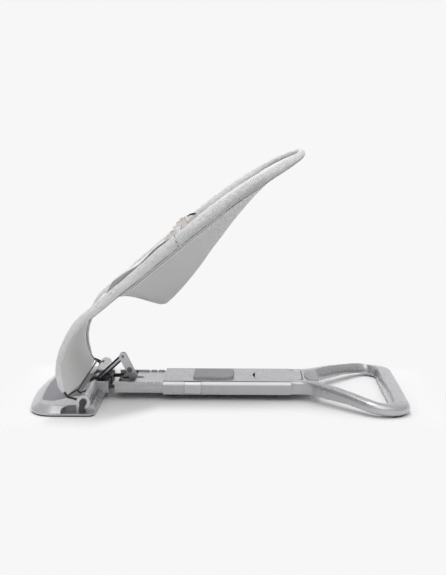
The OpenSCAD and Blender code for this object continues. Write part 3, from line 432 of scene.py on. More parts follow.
def make_piece(name, verts, faces, key, body, uvs=None, replaces=(), other=None,
               face_mats=()):
    """A piece from points and faces; face_mats tells which faces have the other finish"""
    mesh = bpy.data.meshes.new(name)
    mesh.from_pydata([tuple(v) for v in verts], [], faces)
    mesh.validate()
    if uvs is not None:
        layer = mesh.uv_layers.new(name="UVMap")
        for loop in mesh.loops:
            layer.data[loop.index].uv = uvs[loop.vertex_index]
    mesh.materials.append(material(key))
    if other is not None:
        mesh.materials.append(material(other))
        for poly, index in zip(mesh.polygons, face_mats):
            poly.material_index = index
    work = bmesh.new()
    work.from_mesh(mesh)
    bmesh.ops.recalc_face_normals(work, faces=work.faces)
    work.to_mesh(mesh)
    work.free()
    return add_piece(name, mesh, body, replaces)


def loft(rings):
    """Vertices and faces of a closed surface skinned over rings of equal length"""
    verts = [p for ring in rings for p in ring]
    m = len(rings[0])
    faces = []
    for i in range(len(rings) - 1):
        for j in range(m):
            k = (j + 1) % m
            faces.append((i * m + j, i * m + k, (i + 1) * m + k, (i + 1) * m + j))
    faces.append(tuple(range(m - 1, -1, -1)))
    faces.append(tuple(range((len(rings) - 1) * m, len(rings) * m)))
    return verts, faces


def spline(points, count):
    """Evenly spread points on a smooth curve through the given points"""
    dense = []
    n, steps = len(points), 12
    for i in range(n - 1):
        p0 = points[max(0, i - 1)]
        p1, p2 = points[i], points[i + 1]
        p3 = points[min(n - 1, i + 2)]
        for k in range(steps):
            t = k / steps
            dense.append(0.5 * ((2 * p1) + (p2 - p0) * t + (2 * p0 - 5 * p1 + 4 * p2 - p3) * t * t
                                + (3 * p1 - p0 - 3 * p2 + p3) * t ** 3))
    dense.append(points[-1])
    return resample(dense, count)


def resample(dense, count):
    """Evenly spread points on a line of straight stretches"""
    total = [0.0]
    for a, b in zip(dense, dense[1:]):
        total.append(total[-1] + (b - a).length)
    out, j = [], 0
    for i in range(count):
        target = total[-1] * i / (count - 1)
        while j < len(dense) - 2 and total[j + 1] < target:
            j += 1
        span = total[j + 1] - total[j]
        out.append(dense[j].lerp(dense[j + 1], (target - total[j]) / span if span else 0.0))
    return out


def tangents(path):
    last = len(path) - 1
    return [(path[min(last, i + 1)] - path[max(0, i - 1)]).normalized()
            for i in range(len(path))]


def tube(name, path, radius, key, body, up=Vector((0, 0, 1)), sides=14, shape=None,
         replaces=()):
    """A swept tube; shape(ring, angle, run) may give its two radii instead of one"""
    rings, uvs = [], []
    run = 0.0
    for i, (p, d) in enumerate(zip(path, tangents(path))):
        if i:
            run += (path[i] - path[i - 1]).length
        guide = up(i) if callable(up) else up
        side = d.cross(guide).normalized()
        top = side.cross(d)
        ring = []
        for j in range(sides):
            a = 2 * math.pi * j / sides
            r = shape(i, a, run) if shape else (radius, radius)
            ring.append(p + side * math.cos(a) * r[0] + top * math.sin(a) * r[1])
            uvs.append((a * radius, run))
        rings.append(ring)
    verts, faces = loft(rings)
    return make_piece(name, verts, faces, key, body, uvs, replaces)


def cloth_shell(name, rows, cols, point, key, other, replaces=()):
    """A closed cloth on the seat, of two faces that share a rim and may differ in finish.
    point(i, j) gives a place on each face and the weave coordinates there"""
    spots = [point(i, j) for i in range(rows) for j in range(cols)]
    verts = [p for p, q, uv in spots] + [q for p, q, uv in spots]
    uvs = [uv for p, q, uv in spots] * 2
    base = rows * cols
    faces, mats = [], []
    for i in range(rows - 1):
        for j in range(cols - 1):
            a, b = i * cols + j, (i + 1) * cols + j
            faces.append((a, b, b + 1, a + 1))
            faces.append((base + a, base + a + 1, base + b + 1, base + b))
            mats += [0, 1]
    edge = ([(0, j) for j in range(cols)] + [(i, cols - 1) for i in range(1, rows)]
            + [(rows - 1, j) for j in range(cols - 2, -1, -1)]
            + [(i, 0) for i in range(rows - 2, 0, -1)])
    for (i, j), (k, m) in zip(edge, edge[1:] + edge[:1]):
        a, b = i * cols + j, k * cols + m
        faces.append((a, b, base + b, base + a))
        mats.append(0)
    return make_piece(name, verts, faces, key, "seat_frame", uvs, replaces, other, mats)


def shell_rim(rows, cols):
    """Indices of the points on a cloth shell's border, on both of its faces"""
    out = []
    for i in range(rows):
        for j in range(cols):
            if i in (0, rows - 1) or j in (0, cols - 1):
                out += [i * cols + j, rows * cols + i * cols + j]
    return out


# the simulation that swells padded cloth, and the least that it has to move in metres
PRESSURE = 1.2
CLOTH_FRAMES, CLOTH_STEPS, CLOTH_MASS = 14, 5, 0.2
LEAST_SWELL = 1e-5


def plump(made, held, limit):
    """Swells a closed cloth by simulation between its held points, within a limit"""
    scene = bpy.context.scene
    before = [v.co.copy() for v in made.data.vertices]
    group = made.vertex_groups.new(name="held")
    group.add(held, 1.0, "REPLACE")
    cloth = made.modifiers.new("Cloth", "CLOTH")
    cloth.settings.use_pressure = True
    cloth.settings.uniform_pressure_force = PRESSURE
    cloth.settings.effector_weights.gravity = 0.0
    cloth.settings.quality = CLOTH_STEPS
    cloth.settings.mass = CLOTH_MASS
    cloth.settings.vertex_group_mass = "held"
    cloth.collision_settings.use_collision = False
    scene.frame_start, scene.frame_end = 1, CLOTH_FRAMES
    for frame_number in range(1, CLOTH_FRAMES + 1):
        scene.frame_set(frame_number)
    shown = made.evaluated_get(bpy.context.evaluated_depsgraph_get())
    after = [v.co.copy() for v in shown.data.vertices]
    made.modifiers.remove(cloth)
    scene.frame_set(1)
    moved = 0.0
    for v, a, b in zip(made.data.vertices, before, after):
        step = b - a
        if step.length > limit:
            step *= limit / step.length
        moved = max(moved, step.length)
        v.co = a + step
    if moved < LEAST_SWELL:
        raise RuntimeError(made.name + " did not swell")
    made.vertex_groups.clear()
    made.data.update()


FOOT_NODES = ("foot_shell", "foot_bottom_plate", "foot_sole", "foot_inset", "recess_liners",
              "foot_screws")
# metres that the foot's front edge bows forward, half the bow's width, where along the
# foot it starts and over what length it grows
FOOT_BOW, FOOT_BOW_HALF, FOOT_BOW_FROM, FOOT_BOW_REACH = 0.0150, 0.175, -0.300, 0.092
FOOT_CUTS, FOOT_CUT_STEP = 9, 0.0185  # cuts on each side of the middle that let it bend


def bow_foot(work):
    """Bows the foot's front edge forward between its round corners"""
    for k in range(-FOOT_CUTS, FOOT_CUTS + 1):
        bmesh.ops.bisect_plane(work, geom=work.verts[:] + work.edges[:] + work.faces[:],
                               plane_co=(0, k * FOOT_CUT_STEP, 0), plane_no=(0, 1, 0))
    for v in work.verts:
        reach = smooth((FOOT_BOW_FROM - v.co.x) / FOOT_BOW_REACH)
        v.co.x -= FOOT_BOW * reach * max(0.0, 1 - (v.co.y / FOOT_BOW_HALF) ** 2)


MERGE_WITHIN = 1e-6
FLAT_ANGLE = math.radians(1.0)
EDGE_ANGLE = math.radians(28.0)
CREASE_ANGLE = math.radians(80)


def dress(node, key, body, bevel):
    """A CAD node's own shape with softened edges and a finish"""
    work = bmesh.new()
    work.from_mesh(NODES[node].data)
    bmesh.ops.remove_doubles(work, verts=work.verts, dist=MERGE_WITHIN)
    if bevel:
        bmesh.ops.dissolve_limit(work, angle_limit=FLAT_ANGLE, verts=work.verts,
                                 edges=work.edges)
    if node in FOOT_NODES:
        bow_foot(work)
    mesh = bpy.data.meshes.new(node + "_finish")
    work.to_mesh(mesh)
    work.free()
    mesh.materials.clear()
    mesh.materials.append(material(key))
    made = add_piece(node + "_finish", mesh, body, (node,))
    mesh.set_sharp_from_angle(angle=CREASE_ANGLE if bevel else EDGE_ANGLE)
    if bevel:
        soften = made.modifiers.new("Soft edges", "BEVEL")
        soften.width = bevel
        soften.segments = 2
        soften.limit_method = "ANGLE"
        soften.angle_limit = EDGE_ANGLE
    weighted = made.modifiers.new("Weighted normals", "WEIGHTED_NORMAL")
    weighted.keep_sharp = not bevel
    return made


def finish_node(node, key):
    """A finish for a CAD node that keeps its own mesh"""
    data = NODES[node].data
    data.materials.clear()
    data.materials.append(material(key))


# ---------------------------------------------------------------- the seat's shape

# The main hinge, where seat space starts; the sizes below are in its millimetres
HUB = mm(-281, 0, 27)
NECK = (-1.0, 169.0)
SLOPE = math.radians(36.6)
ALONG = (math.cos(SLOPE), math.sin(SLOPE))
ABOVE = (-math.sin(SLOPE), math.cos(SLOPE))
SEAT_LENGTH = 562.0
SHOULDER = 0.82 * SEAT_LENGTH
HOOP_LOW, HOOP_HIGH = 190.0, 205.0
SEAT_BOW = 16.0
HEAD_ROUND = 0.8
HEM_CORNER = (-32.0, 12.0)
HEM_WIRE = (-17.0, 14.5)
# the leg panel from the side, at its edges and in its middle
PANEL_CURVE = (HEM_CORNER, (-62.0, 0.3 * NECK[1]), (-50.0, 0.68 * NECK[1]), NECK)
PANEL_MIDDLE = ((HEM_WIRE[0] - 1, HEM_WIRE[1] + 1), (-50.0, 0.3 * NECK[1]),
                (-50.0, 0.68 * NECK[1]), NECK)
# where the pocket is deepest, and how its floor rises to the neck and to the head
SAG_AT = 0.233 * SEAT_LENGTH
SAG_RISE, SAG_STRETCH, SAG_FALL = 2.37, 0.83, 2.17
SEAT_NORMAL = Vector((ABOVE[0], 0, ABOVE[1]))
LEAN = Vector((0.3, 0.02, 1))  # a guide that no wire or piping runs along


def bezier(p, t):
    """A point on a side view's curve with four control points"""
    s = 1 - t
    w = (s ** 3, 3 * s * s * t, 3 * s * t * t, t ** 3)
    return tuple(sum(w[i] * p[i][k] for i in range(4)) for k in range(2))


def seat_point(u, lift):
    """The x and z of a place along the seat's straight line and a lift above it"""
    return (NECK[0] + ALONG[0] * u + ABOVE[0] * lift, NECK[1] + ALONG[1] * u + ABOVE[1] * lift)


def bow(u):
    """How far the hoop bows above the straight line from neck to head"""
    k = 2 * u / SEAT_LENGTH - 1
    return SEAT_BOW * (1 - k * k) * (1 + 0.6 * k)


def hoop_half(u):
    return mix(HOOP_LOW, HOOP_HIGH, smooth(u / SHOULDER))


def to_space(x, y, z):
    """A scene point from seat space"""
    return HUB + mm(x, y, z)


def on_seat(u, y, lift):
    """A scene point from a place along the seat, across it and above it"""
    x, z = seat_point(u, lift)
    return to_space(x, y, z)


def along_seat(p):
    """Distance of a scene point along the seat from the neck, below zero on the leg side"""
    x, z = (p.x - HUB.x) / MM - NECK[0], (p.z - HUB.z) / MM - NECK[1]
    return x * ALONG[0] + z * ALONG[1]


def rim_half():
    """One side of the rim in seat space: (x, half width, z), hem corner to head"""
    out = []
    low, straight = 8, 12
    for k in range(low):
        x, z = bezier(PANEL_CURVE, k / low)
        out.append((x, HOOP_LOW, z))
    for k in range(straight):
        u = SHOULDER * k / straight
        x, z = seat_point(u, bow(u))
        out.append((x, hoop_half(u), z))
    for degrees in range(90, -1, -10):
        a = math.radians(degrees)
        u = mix(SHOULDER, SEAT_LENGTH, math.cos(a))
        x, z = seat_point(u, bow(u))
        out.append((x, HOOP_HIGH * max(0.0, math.sin(a)) ** HEAD_ROUND, z))
    return out


def both_sides(half, count):
    """A path from one side's points, round the head and back along the mirrored side"""
    near = [to_space(x, -y, z) for x, y, z in half]
    far = [to_space(x, y, z) for x, y, z in reversed(half[:-1])]
    return spline(near + far, count)


# the share of a direction in the side plane below which the rim runs across the seat,
# and how many neighbours each way its direction is evened over
ACROSS_BELOW = 0.35
UP_WINDOW = 4


def seat_up(path):
    """Direction out of the seat's surface at each point of the rim"""
    out = []
    for d in tangents(path):
        flat = Vector((d.x, 0, d.z))
        if flat.length < ACROSS_BELOW:
            flat = Vector((ALONG[0], 0, ALONG[1]))
        flat.normalize()
        if flat.z + 0.6 * flat.x < 0:
            flat = -flat
        out.append(Vector((-flat.z, 0, flat.x)))
    smoothed = []
    for i in range(len(out)):
        total = Vector((0, 0, 0))
        for k in range(-UP_WINDOW, UP_WINDOW + 1):
            total += out[max(0, min(len(out) - 1, i + k))]
        smoothed.append(total.normalized())
    return smoothed


def sag(u, depth):
    """How far the middle of the pocket hangs below the straight line of the seat"""
    if u < SAG_AT:
        return depth * smooth((max(0.0, u) / SAG_AT) ** SAG_RISE)
    k = ((u - SAG_AT) / (SEAT_LENGTH - SAG_AT)) ** SAG_STRETCH
    return depth * max(0.0, math.cos(math.radians(90 * min(1.0, k)))) ** SAG_FALL


def edge_curve(count, inset):
    """The sling's edge in the seat's plane: (along, half width), neck to head"""
    straight, start = 40, 0.4
    rim = []
    for k in range(straight):
        u = SHOULDER * k / straight
        rim.append((max(start, u), hoop_half(u)))
    for degrees in (*range(90, 0, -3), 2):
        a = math.radians(degrees)
        rim.append((mix(SHOULDER, SEAT_LENGTH, math.cos(a)),
                    HOOP_HIGH * math.sin(a) ** HEAD_ROUND))
    dense = []
    for i, p in enumerate(rim):
        a, b = rim[max(0, i - 1)], rim[min(len(rim) - 1, i + 1)]
        d = Vector((b[0] - a[0], b[1] - a[1], 0)).normalized()
        n = Vector((0, -1, 0)) if i == 0 else Vector((d.y, -d.x, 0))
        spot = Vector((p[0], max(1.0, p[1]), 0)) + n * inset
        spot.y = max(0.6, spot.y)
        dense.append(spot)
    return resample(dense, count)


def table_value(table, x):
    """A value between the rows of a table of (place, value)"""
    for (a, va), (b, vb) in zip(table, table[1:]):
        if x <= b:
            return mix(va, vb, smooth((x - a) / (b - a)))
    return table[-1][1]


# ---------------------------------------------------------------- operators

# Half width of the sleeve along the seat, as shares of its greatest
SLEEVE_SHARE = ((-125, 0.56), (-60, 0.60), (0, 0.75), (60, 0.79), (130, 0.84), (236, 0.94),
                (320, 1.0), (430, 0.95), (500, 0.78), (575, 0.58))
SLEEVE_FLATTENING = 0.86
# its two cross seams: their place, half width and pucker along the seat in millimetres,
# and how deep and high they and the pucker go in metres
SEAM_AT, SEAM_HALF, PUCKER_HALF = 255.0, 1.3, 7.0
SEAM_DEPTH, PUCKER_RISE = 0.0017, 0.0006
# waves per metre of the cloth's unevenness, from slow swells to fine wrinkles
SWELL_WAVES, PATCH_WAVES, DRIFT_WAVES, WRINKLE_WAVES = 14, 22, 60, 90
# how much stronger the leg's gathers are, and how its ends narrow over their last rings
LEG_GATHER, END_TAPER, END_RINGS = 0.7, 0.30, 20
SLEEVE_POINTS, SLEEVE_BARE_ENDS = 2400, 16
# where the dark line of painted shade under the sleeve starts along the seat, the radii of it
# and of the seams' threads, and how far both stand off the cloth
SHADE_LINE_FROM, SHADE_LINE_RADIUS, SEAM_RADIUS, SEAM_STAND = 8, 0.0007, 0.0006, 0.0003
SEAM_LEAN = 0.0040  # how far a seam's ring leans along the sleeve


class BOUNCER_OT_sleeve(bpy.types.Operator):
    """Builds the gathered cloth sleeve around the hoop, with a dark line of painted shade along
    its lower edge, and its cross seams
    """
    bl_idname = "bouncer.sleeve"
    bl_label = "Sleeve"

    def execute(self, context):
        s = context.scene.bouncer_sizes
        path = both_sides(rim_half(), SLEEVE_POINTS)[SLEEVE_BARE_ENDS:-SLEEVE_BARE_ENDS]
        up = seat_up(path)
        at = [along_seat(p) for p in path]
        half = [s.sleeve_radius * table_value(SLEEVE_SHARE, u) for u in at]
        turn = 2 * math.pi / s.rib_pitch

        def shape(i, a, run):
            u, r = at[i], half[i]
            swell = noise.noise(Vector((run * SWELL_WAVES, math.cos(a) * 0.8, math.sin(a) * 0.8)))
            wrinkle = noise.noise(Vector((run * WRINKLE_WAVES, math.cos(a) * 1.6,
                                          math.sin(a) * 1.6)))
            patch = smooth(0.5 + 1.6 * noise.noise(Vector((run * PATCH_WAVES, math.cos(a), 7.0))))
            rib = math.sin(run * turn + 2.4 * noise.noise(Vector((run * DRIFT_WAVES, 5, 0)))
                           + 0.7 * math.sin(a * 2))
            gather = 1 + LEG_GATHER - LEG_GATHER * smooth((u + 20) / 60)
            lift = s.rib_depth * (rib * gather * (0.35 + 0.65 * patch) + 1.3 * wrinkle
                                  + 1.6 * swell)
            off = u - SEAM_AT + 4.0 * math.sin(a)
            lift += (PUCKER_RISE * math.exp(-(off / PUCKER_HALF) ** 2)
                     - SEAM_DEPTH * math.exp(-(off / SEAM_HALF) ** 2))
            from_end = min(i, len(path) - 1 - i)
            end = min(1.0, 1 - END_TAPER + END_TAPER * from_end / END_RINGS)
            return ((SLEEVE_FLATTENING * r + lift) * end, (r + lift) * end)

        made = tube("sleeve_cover", path, s.sleeve_radius, "sleeve", "seat_frame",
                    up=lambda i: up[i], sides=32, shape=shape, replaces=("rim_sleeve",))

        # a dark line below the sleeve that paints the shadow beneath it
        line = [path[i] - up[i] * (half[i] + SEAM_STAND) for i in range(0, len(path), 6)
                if at[i] > SHADE_LINE_FROM]
        tube("sleeve_edge", resample(line, 700), SHADE_LINE_RADIUS, "tape", "seat_frame",
             up=LEAN, sides=8)

        # a seam across each side, a ring that leans with the cloth
        for end, side in SIDES:
            i = min((k for k in range(len(path)) if path[k].y * side > 0),
                    key=lambda k: abs(at[k] - SEAM_AT))
            d = (path[i + 1] - path[i - 1]).normalized()
            out = d.cross(up[i]).normalized()
            r = half[i] + SEAM_STAND
            ring = []
            for k in range(49):
                a = 2 * math.pi * k / 48
                lean = SEAM_LEAN * math.sin(a)
                ring.append(path[i] + out * SLEEVE_FLATTENING * r * math.cos(a)
                            + up[i] * r * math.sin(a) - d * lean * (1 if d.z < 0 else -1))
            tube("sleeve_seam_" + end, ring, SEAM_RADIUS, "tape", "seat_frame",
                 up=Vector((0.31, 0.05, 0.2)), sides=8)
        return {"FINISHED"}


SLING_ROWS, SLING_COLS = 74, 49
# millimetres that the sling's edge lies inside the hoop's line and below it
SLING_INSET, SLING_BELOW_RIM = 7.5, 2.0
SLING_FULLNESS = 1.47  # how flat the pocket's cross section is in its middle
SLING_SWELL = 0.0025  # the most that its cloth may swell, in metres
PIPING_BELOW_SLEEVE, PIPING_RADIUS = 2.6, 0.0009


class BOUNCER_OT_sling(bpy.types.Operator):
    """Builds the sling that holds the baby, melange above and plain cloth below"""
    bl_idname = "bouncer.sling"
    bl_label = "Sling"

    def execute(self, context):
        s = context.scene.bouncer_sizes
        depth = s.pocket_depth / MM
        thick = s.sling_thickness / MM
        edge = edge_curve(SLING_ROWS, SLING_INSET)

        def point(i, j):
            e = edge[i]
            v = math.sin(math.pi * (j / (SLING_COLS - 1) - 0.5))
            full = 1 - abs(v) ** SLING_FULLNESS
            deep = mix(bow(e.x) - SLING_BELOW_RIM, -sag(e.x, depth), full)
            ripple = noise.noise(Vector((e.x * 0.02, v * 3.5, 1.7))) * 1.6 * full
            pad = 0.5 * thick * (0.25 + 0.75 * full ** 0.35)
            return (on_seat(e.x, v * e.y, deep + ripple + pad),
                    on_seat(e.x, v * e.y, deep + 0.35 * ripple - pad),
                    (v * e.y * MM, e.x * MM))

        made = cloth_shell("sling_cloth", SLING_ROWS, SLING_COLS, point, "melange", "sling",
                           ("seat_sling",))
        plump(made, shell_rim(SLING_ROWS, SLING_COLS), SLING_SWELL)
        # fine piping sewn on the outside, a little below the sleeve
        for end, side in SIDES:
            line = []
            for e in edge:
                below = (s.sleeve_radius / MM * table_value(SLEEVE_SHARE, e.x)
                         + PIPING_BELOW_SLEEVE)
                rim = bow(e.x) - SLING_BELOW_RIM
                whole = rim + sag(e.x, depth)
                if below < 0.55 * whole:
                    v = (1 - below / whole) ** (1 / SLING_FULLNESS)
                    line.append(on_seat(e.x, side * (v * e.y + 1.2), rim - below - 0.5 * thick))
            tube("sling_piping_" + end, resample(line, 240), PIPING_RADIUS, "thread_light",
                 "seat_frame", up=LEAN, sides=8)
        return {"FINISHED"}


PANEL_ROWS, PANEL_COLS = 44, 41
PANEL_INSET = 5.5   # millimetres that its sides lie inside the hoop's line
PANEL_FROM = 0.012  # share of its curve left free around the hem wire
# metres along the cloth: its flat size, and the length that its weave is spread over
PANEL_FLAT_LENGTH, PANEL_WEAVE_LENGTH = 0.173, 0.19


class BOUNCER_OT_leg_panel(bpy.types.Operator):
    """Builds the curved cloth between the neck and the hem wire"""
    bl_idname = "bouncer.leg_panel"
    bl_label = "Leg panel"

    def execute(self, context):
        s = context.scene.bouncer_sizes
        thick = s.panel_thickness / MM
        half = HOOP_LOW - PANEL_INSET

        def point(i, j):
            t = mix(PANEL_FROM, 1.0, i / (PANEL_ROWS - 1))
            e, m = bezier(PANEL_CURVE, t), bezier(PANEL_MIDDLE, t)
            q = bezier(PANEL_MIDDLE, min(1.0, t + 0.01))
            if t > 0.985:
                q = (m[0] + 0.7, m[1] + 0.7)
            n = Vector((-(q[1] - m[1]), q[0] - m[0], 0)).normalized()
            v = math.sin(math.pi * (j / (PANEL_COLS - 1) - 0.5))
            g = 1 - v ** 4
            x, z = mix(e[0], m[0], g), mix(e[1], m[1], g)
            fold = 0.9 * noise.noise(Vector((v * 5.0, t * 3.0, 4.0))) * math.sin(math.pi * t)
            pad = 0.5 * thick * (0.4 + 0.6 * g ** 0.5)
            return (to_space(x + n.x * (fold + pad), v * half, z + n.y * (fold + pad)),
                    to_space(x + n.x * (fold - pad), v * half, z + n.y * (fold - pad)),
                    (v * half * MM, t * PANEL_WEAVE_LENGTH))

        made = cloth_shell("leg_panel_cloth", PANEL_ROWS, PANEL_COLS, point, "melange", "panel",
                           ("leg_panel",))
        return {"FINISHED"}


# The bib's half width along the seat, from its lower end to its arms
BIB_OUTLINE = ((46, 30), (70, 31), (104, 36), (140, 50), (172, 82), (198, 112), (212, 130),
               (232, 133), (247, 131))
BIB_LOW, BIB_LOW_HALF = BIB_OUTLINE[0]
BIB_ROWS, BIB_COLS = 46, 33
BIB_LIFT = 15.5  # millimetres above the seat's straight line
BIB_SWELL = 0.0020
GUSSET_ROWS, GUSSET_COLS, GUSSET_HALF_DEPTH = 30, 9, 0.7
STRAP_ROWS, STRAP_COLS, STRAP_HALF_DEPTH = 12, 13, 1.8
# metres: the radius of the bib's binding, and the section of the strap's stiff end
BINDING_RADIUS = 0.0011
TIP_HALF_WIDTH, TIP_HALF_DEPTH = 0.0052, 0.0016


def droop(u):
    """How far the binding of the bib's lower end sinks into the seat"""
    return 8.0 * (1 - smooth((u - BIB_LOW) / 90))


def puff(u):
    """How far the bib's face swells at the lower end, between its tip and its middle"""
    return 4.0 * (1 - smooth((u - 92) / 60)) - 11.0 * (1 - smooth((u - 43) / 30))


def arm_rise(u, v):
    """How far the bib's arms climb toward the buckles, less on the far side"""
    return (11.0 if v < 0 else 6.5) * smooth((u - 130) / 85) * abs(v) ** 2


class BOUNCER_OT_harness(bpy.types.Operator):
    """Builds the harness bib with its bound edge, side gussets in a grey that paints the shade
    under it, and straps
    """
    bl_idname = "bouncer.harness"
    bl_label = "Harness"

    def execute(self, context):
        s = context.scene.bouncer_sizes
        thick = s.bib_thickness / MM
        half_at = spline([Vector((u, half, 0)) for u, half in BIB_OUTLINE], BIB_ROWS)
        self.face(half_at, thick)
        for end, side in SIDES:
            path = [on_seat(e.x, side * (e.y + 0.6),
                            BIB_LIFT + arm_rise(e.x, side) - droop(e.x) - 1.2) for e in half_at]
            tube("bib_binding_" + end, path, BINDING_RADIUS, "tape", "seat_frame",
                 up=SEAT_NORMAL, sides=8)
        # grey side walls that paint the shade beneath the bib's edges
        for end, side in SIDES:
            self.gusset("bib_gusset_" + end, side, half_at)
        # the stiff end of the webbing beyond the far buckle
        path = [on_seat(266 + k * 3.0, 154 + 4.0 * k, 29 - 0.35 * k * k + 1.2 * k)
                for k in range(7)]
        tube("strap_tip", spline(path, 24), 0.004, "webbing", "seat_frame",
             up=SEAT_NORMAL, sides=16,
             shape=lambda i, a, run: (TIP_HALF_WIDTH, TIP_HALF_DEPTH))
        self.crotch_strap(s.pocket_depth / MM)
        return {"FINISHED"}

    def face(self, half_at, thick):
        """The bib's padded face, which rises on its arms and is cut down between them"""
        def point(i, j):
            e = half_at[i]
            v = 2 * j / (BIB_COLS - 1) - 1
            pull = smooth((e.x - 205) / 42) * 24 * (1 - v * v)
            crown = 2.2 * (1 - v ** 6) * (1 - 0.4 * smooth((e.x - 200) / 50))
            dip = -7.0 * (1 - abs(v) ** 2) * math.sin(math.pi * clamp01((e.x - BIB_LOW) / 200))
            pad = 0.5 * thick * (0.35 + 0.65 * (1 - v ** 8))
            wave = 0.8 * noise.noise(Vector((e.x * 0.03, v * 2.0, 9.0)))
            z = BIB_LIFT + puff(e.x) + arm_rise(e.x, v) + dip + wave
            return (on_seat(e.x - pull, v * e.y, z + pad + 0.2 * crown),
                    on_seat(e.x - pull, v * e.y, z - pad), (v * e.y * MM, e.x * MM))

        made = cloth_shell("harness_cloth", BIB_ROWS, BIB_COLS, point, "melange", "panel",
                           ("harness_bib",))
        plump(made, shell_rim(BIB_ROWS, BIB_COLS), BIB_SWELL)

    def gusset(self, name, side, half_at):
        """The bib's side wall, from its face down to its binding, grey to paint the shade under
        the bib
        """
        def point(i, j):
            e, k = half_at[i], j / (GUSSET_COLS - 1)
            under = BIB_LIFT - droop(e.x) - 1.0
            over = mix(under + 0.6, BIB_LIFT + puff(e.x) + 0.4, smooth((e.x - 43) / 30))
            y = e.y - 0.4 + 1.0 * k + 1.6 * math.sin(math.pi * k)
            z = arm_rise(e.x, side) + mix(over, under, k)
            return (on_seat(e.x, side * (y + GUSSET_HALF_DEPTH), z),
                    on_seat(e.x, side * (y - GUSSET_HALF_DEPTH), z), (z * MM, e.x * MM))

        cloth_shell(name, GUSSET_ROWS, GUSSET_COLS, point, "gusset", "gusset")

    def crotch_strap(self, depth):
        """The short web from the bib's lower end down to the pocket's floor"""
        def point(i, j):
            share, v = i / (STRAP_ROWS - 1), 2 * j / (STRAP_COLS - 1) - 1
            z = mix(BIB_LIFT + puff(BIB_LOW), -sag(BIB_LOW, depth) + 4.2, share)
            x, y = BIB_LOW + 1.5 * math.sin(math.pi * share), v * BIB_LOW_HALF
            return (on_seat(x + STRAP_HALF_DEPTH, y, z), on_seat(x - STRAP_HALF_DEPTH, y, z),
                    (y * MM, z * MM))

        made = cloth_shell("crotch_strap", STRAP_ROWS, STRAP_COLS, point, "panel", "panel")


WIRE_END_Y = (182.3 + 189.9) / 2  # the middle of the hinge disc that takes each end
WIRE_LEAD = (0.31, 0.46, 0.65, 0.85)  # places between the hinge and the hem's corner


class BOUNCER_OT_wires(bpy.types.Operator):
    """Builds the hoop wire inside the sleeve and its bare ends"""
    bl_idname = "bouncer.wires"
    bl_label = "Hoop wire"

    def execute(self, context):
        s = context.scene.bouncer_sizes
        lead = [(HEM_CORNER[0] * t, mix(WIRE_END_Y, HOOP_LOW, smooth((t - WIRE_LEAD[1]) * 2)),
                 HEM_CORNER[1] * t) for t in WIRE_LEAD]
        tube("hoop_tube", both_sides(lead + rim_half(), 420), s.wire_radius, "dark_metal",
             "seat_frame", up=LEAN, sides=12, replaces=("hoop_wire",))
        return {"FINISHED"}


RIGID = (
    # node, finish, body, slot, bevel in millimetres
    ("rear_body_shell", "cast", "rear_base", "shell_metal", 0.35),
    ("rear_bottom_plate", "grey_plastic", "rear_base", "grey_plastic", 0.4),
    ("rear_loop", "cast", "rear_base", "shell_metal", 0.0),
    ("loop_pads", "black", "rear_base", "black_rubber", 0.5),
    ("release_pad", "rubber", "release_button", "pad_rubber", 1.6),
    ("side_button_near", "bright", "near_side_button", "light_metal", 0.3),
    ("side_button_far", "bright", "far_side_button", "light_metal", 0.3),
    ("lever_plate", "cast", "deck_lever", "shell_metal", 0.4),
    ("lever_bracket", "plastic", "rear_base", "dark_plastic", 0.4),
    ("grip_insert", "grip", "rear_base", "grey_plastic", 0.5),
    ("latch_bridge", "plastic", "rear_base", "dark_plastic", 0.5),
    ("beam_feet", "black", "rear_base", "black_rubber", 0.5),
    ("foot_shell", "cast", "front_base", "shell_metal", 0.8),
    ("hub_barrel", "cast", "front_base", "shell_metal", 0.6),
    ("foot_bottom_plate", "grey_plastic", "front_base", "grey_plastic", 0.4),
    ("foot_screws", "steel", "front_base", "steel", 0.0),
    ("foot_sole", "black", "front_base", "black_rubber", 0.6),
    ("foot_inset", "inset", "front_base", "pad_rubber", 0.4),
    ("recess_liners", "liner", "front_base", "dark_plastic", 0.3),
    ("slot_liners", "black", "front_base", "dark_plastic", 0.2),
    ("pivot_clip_near", "plastic", "front_base", "dark_plastic", 0.5),
    ("pivot_clip_far", "plastic", "front_base", "dark_plastic", 0.5),
    ("neck_channel", "cast", "front_base", "shell_metal", 0.4),
    ("guide_rails", "plastic", "front_base", "dark_plastic", 0.4),
    ("channel_ramps", "plastic", "front_base", "dark_plastic", 0.4),
    ("inner_tube", "cast", "front_base", "shell_metal", 0.4),
    ("hub_disc_near", "bright", "seat_frame", "light_metal", 0.8),
    ("hub_disc_far", "bright", "seat_frame", "light_metal", 0.8),
    ("crank_bars", "dark_metal", "seat_frame", "dark_steel", 0.3),
    ("crank_web", "bright", "seat_frame", "light_metal", 0.2),
    ("cross_wire", "dark_metal", "seat_frame", "dark_steel", 0.0),
    ("buckle_near", "buckle", "seat_frame", "buckle_plastic", 1.2),
    ("buckle_far", "buckle", "seat_frame", "buckle_plastic", 1.2),
    ("buckle_tongues", "buckle", "seat_frame", "buckle_plastic", 0.4),
    ("buckle_button_near", "button", "near_buckle_button", "buckle_plastic", 0.5),
    ("buckle_button_far", "button", "far_buckle_button", "buckle_plastic", 0.5),
    ("link_plates", "bright", "fold_link", "light_metal", 0.4),
    ("link_rivet", "rivet", "fold_link", "steel", 0.4),
    ("carriage_block", "plastic", "fold_carriage", "dark_plastic", 0.5),
    ("carriage_cover", "bright", "fold_carriage", "light_metal", 0.3),
)
# small nodes that keep their own mesh: node, finish
PLAIN = (("lever_pin", "steel"), ("body_screws", "steel"), ("hub_bushes", "plastic"),
         ("hub_shaft", "steel"), ("apex_pin", "rivet"), ("carriage_pin", "steel"))
# metres: room over the bottom plate, and the dark lines that paint shade in the deck's grooves
PLATE_ROOM, PLATE_TOP_WITHIN = 0.0002, 1e-5
DECK_SHADE_RADIUS, DECK_SHADE_FROM, DECK_SHADE_INSET = 0.0008, 0.0006, 0.0037
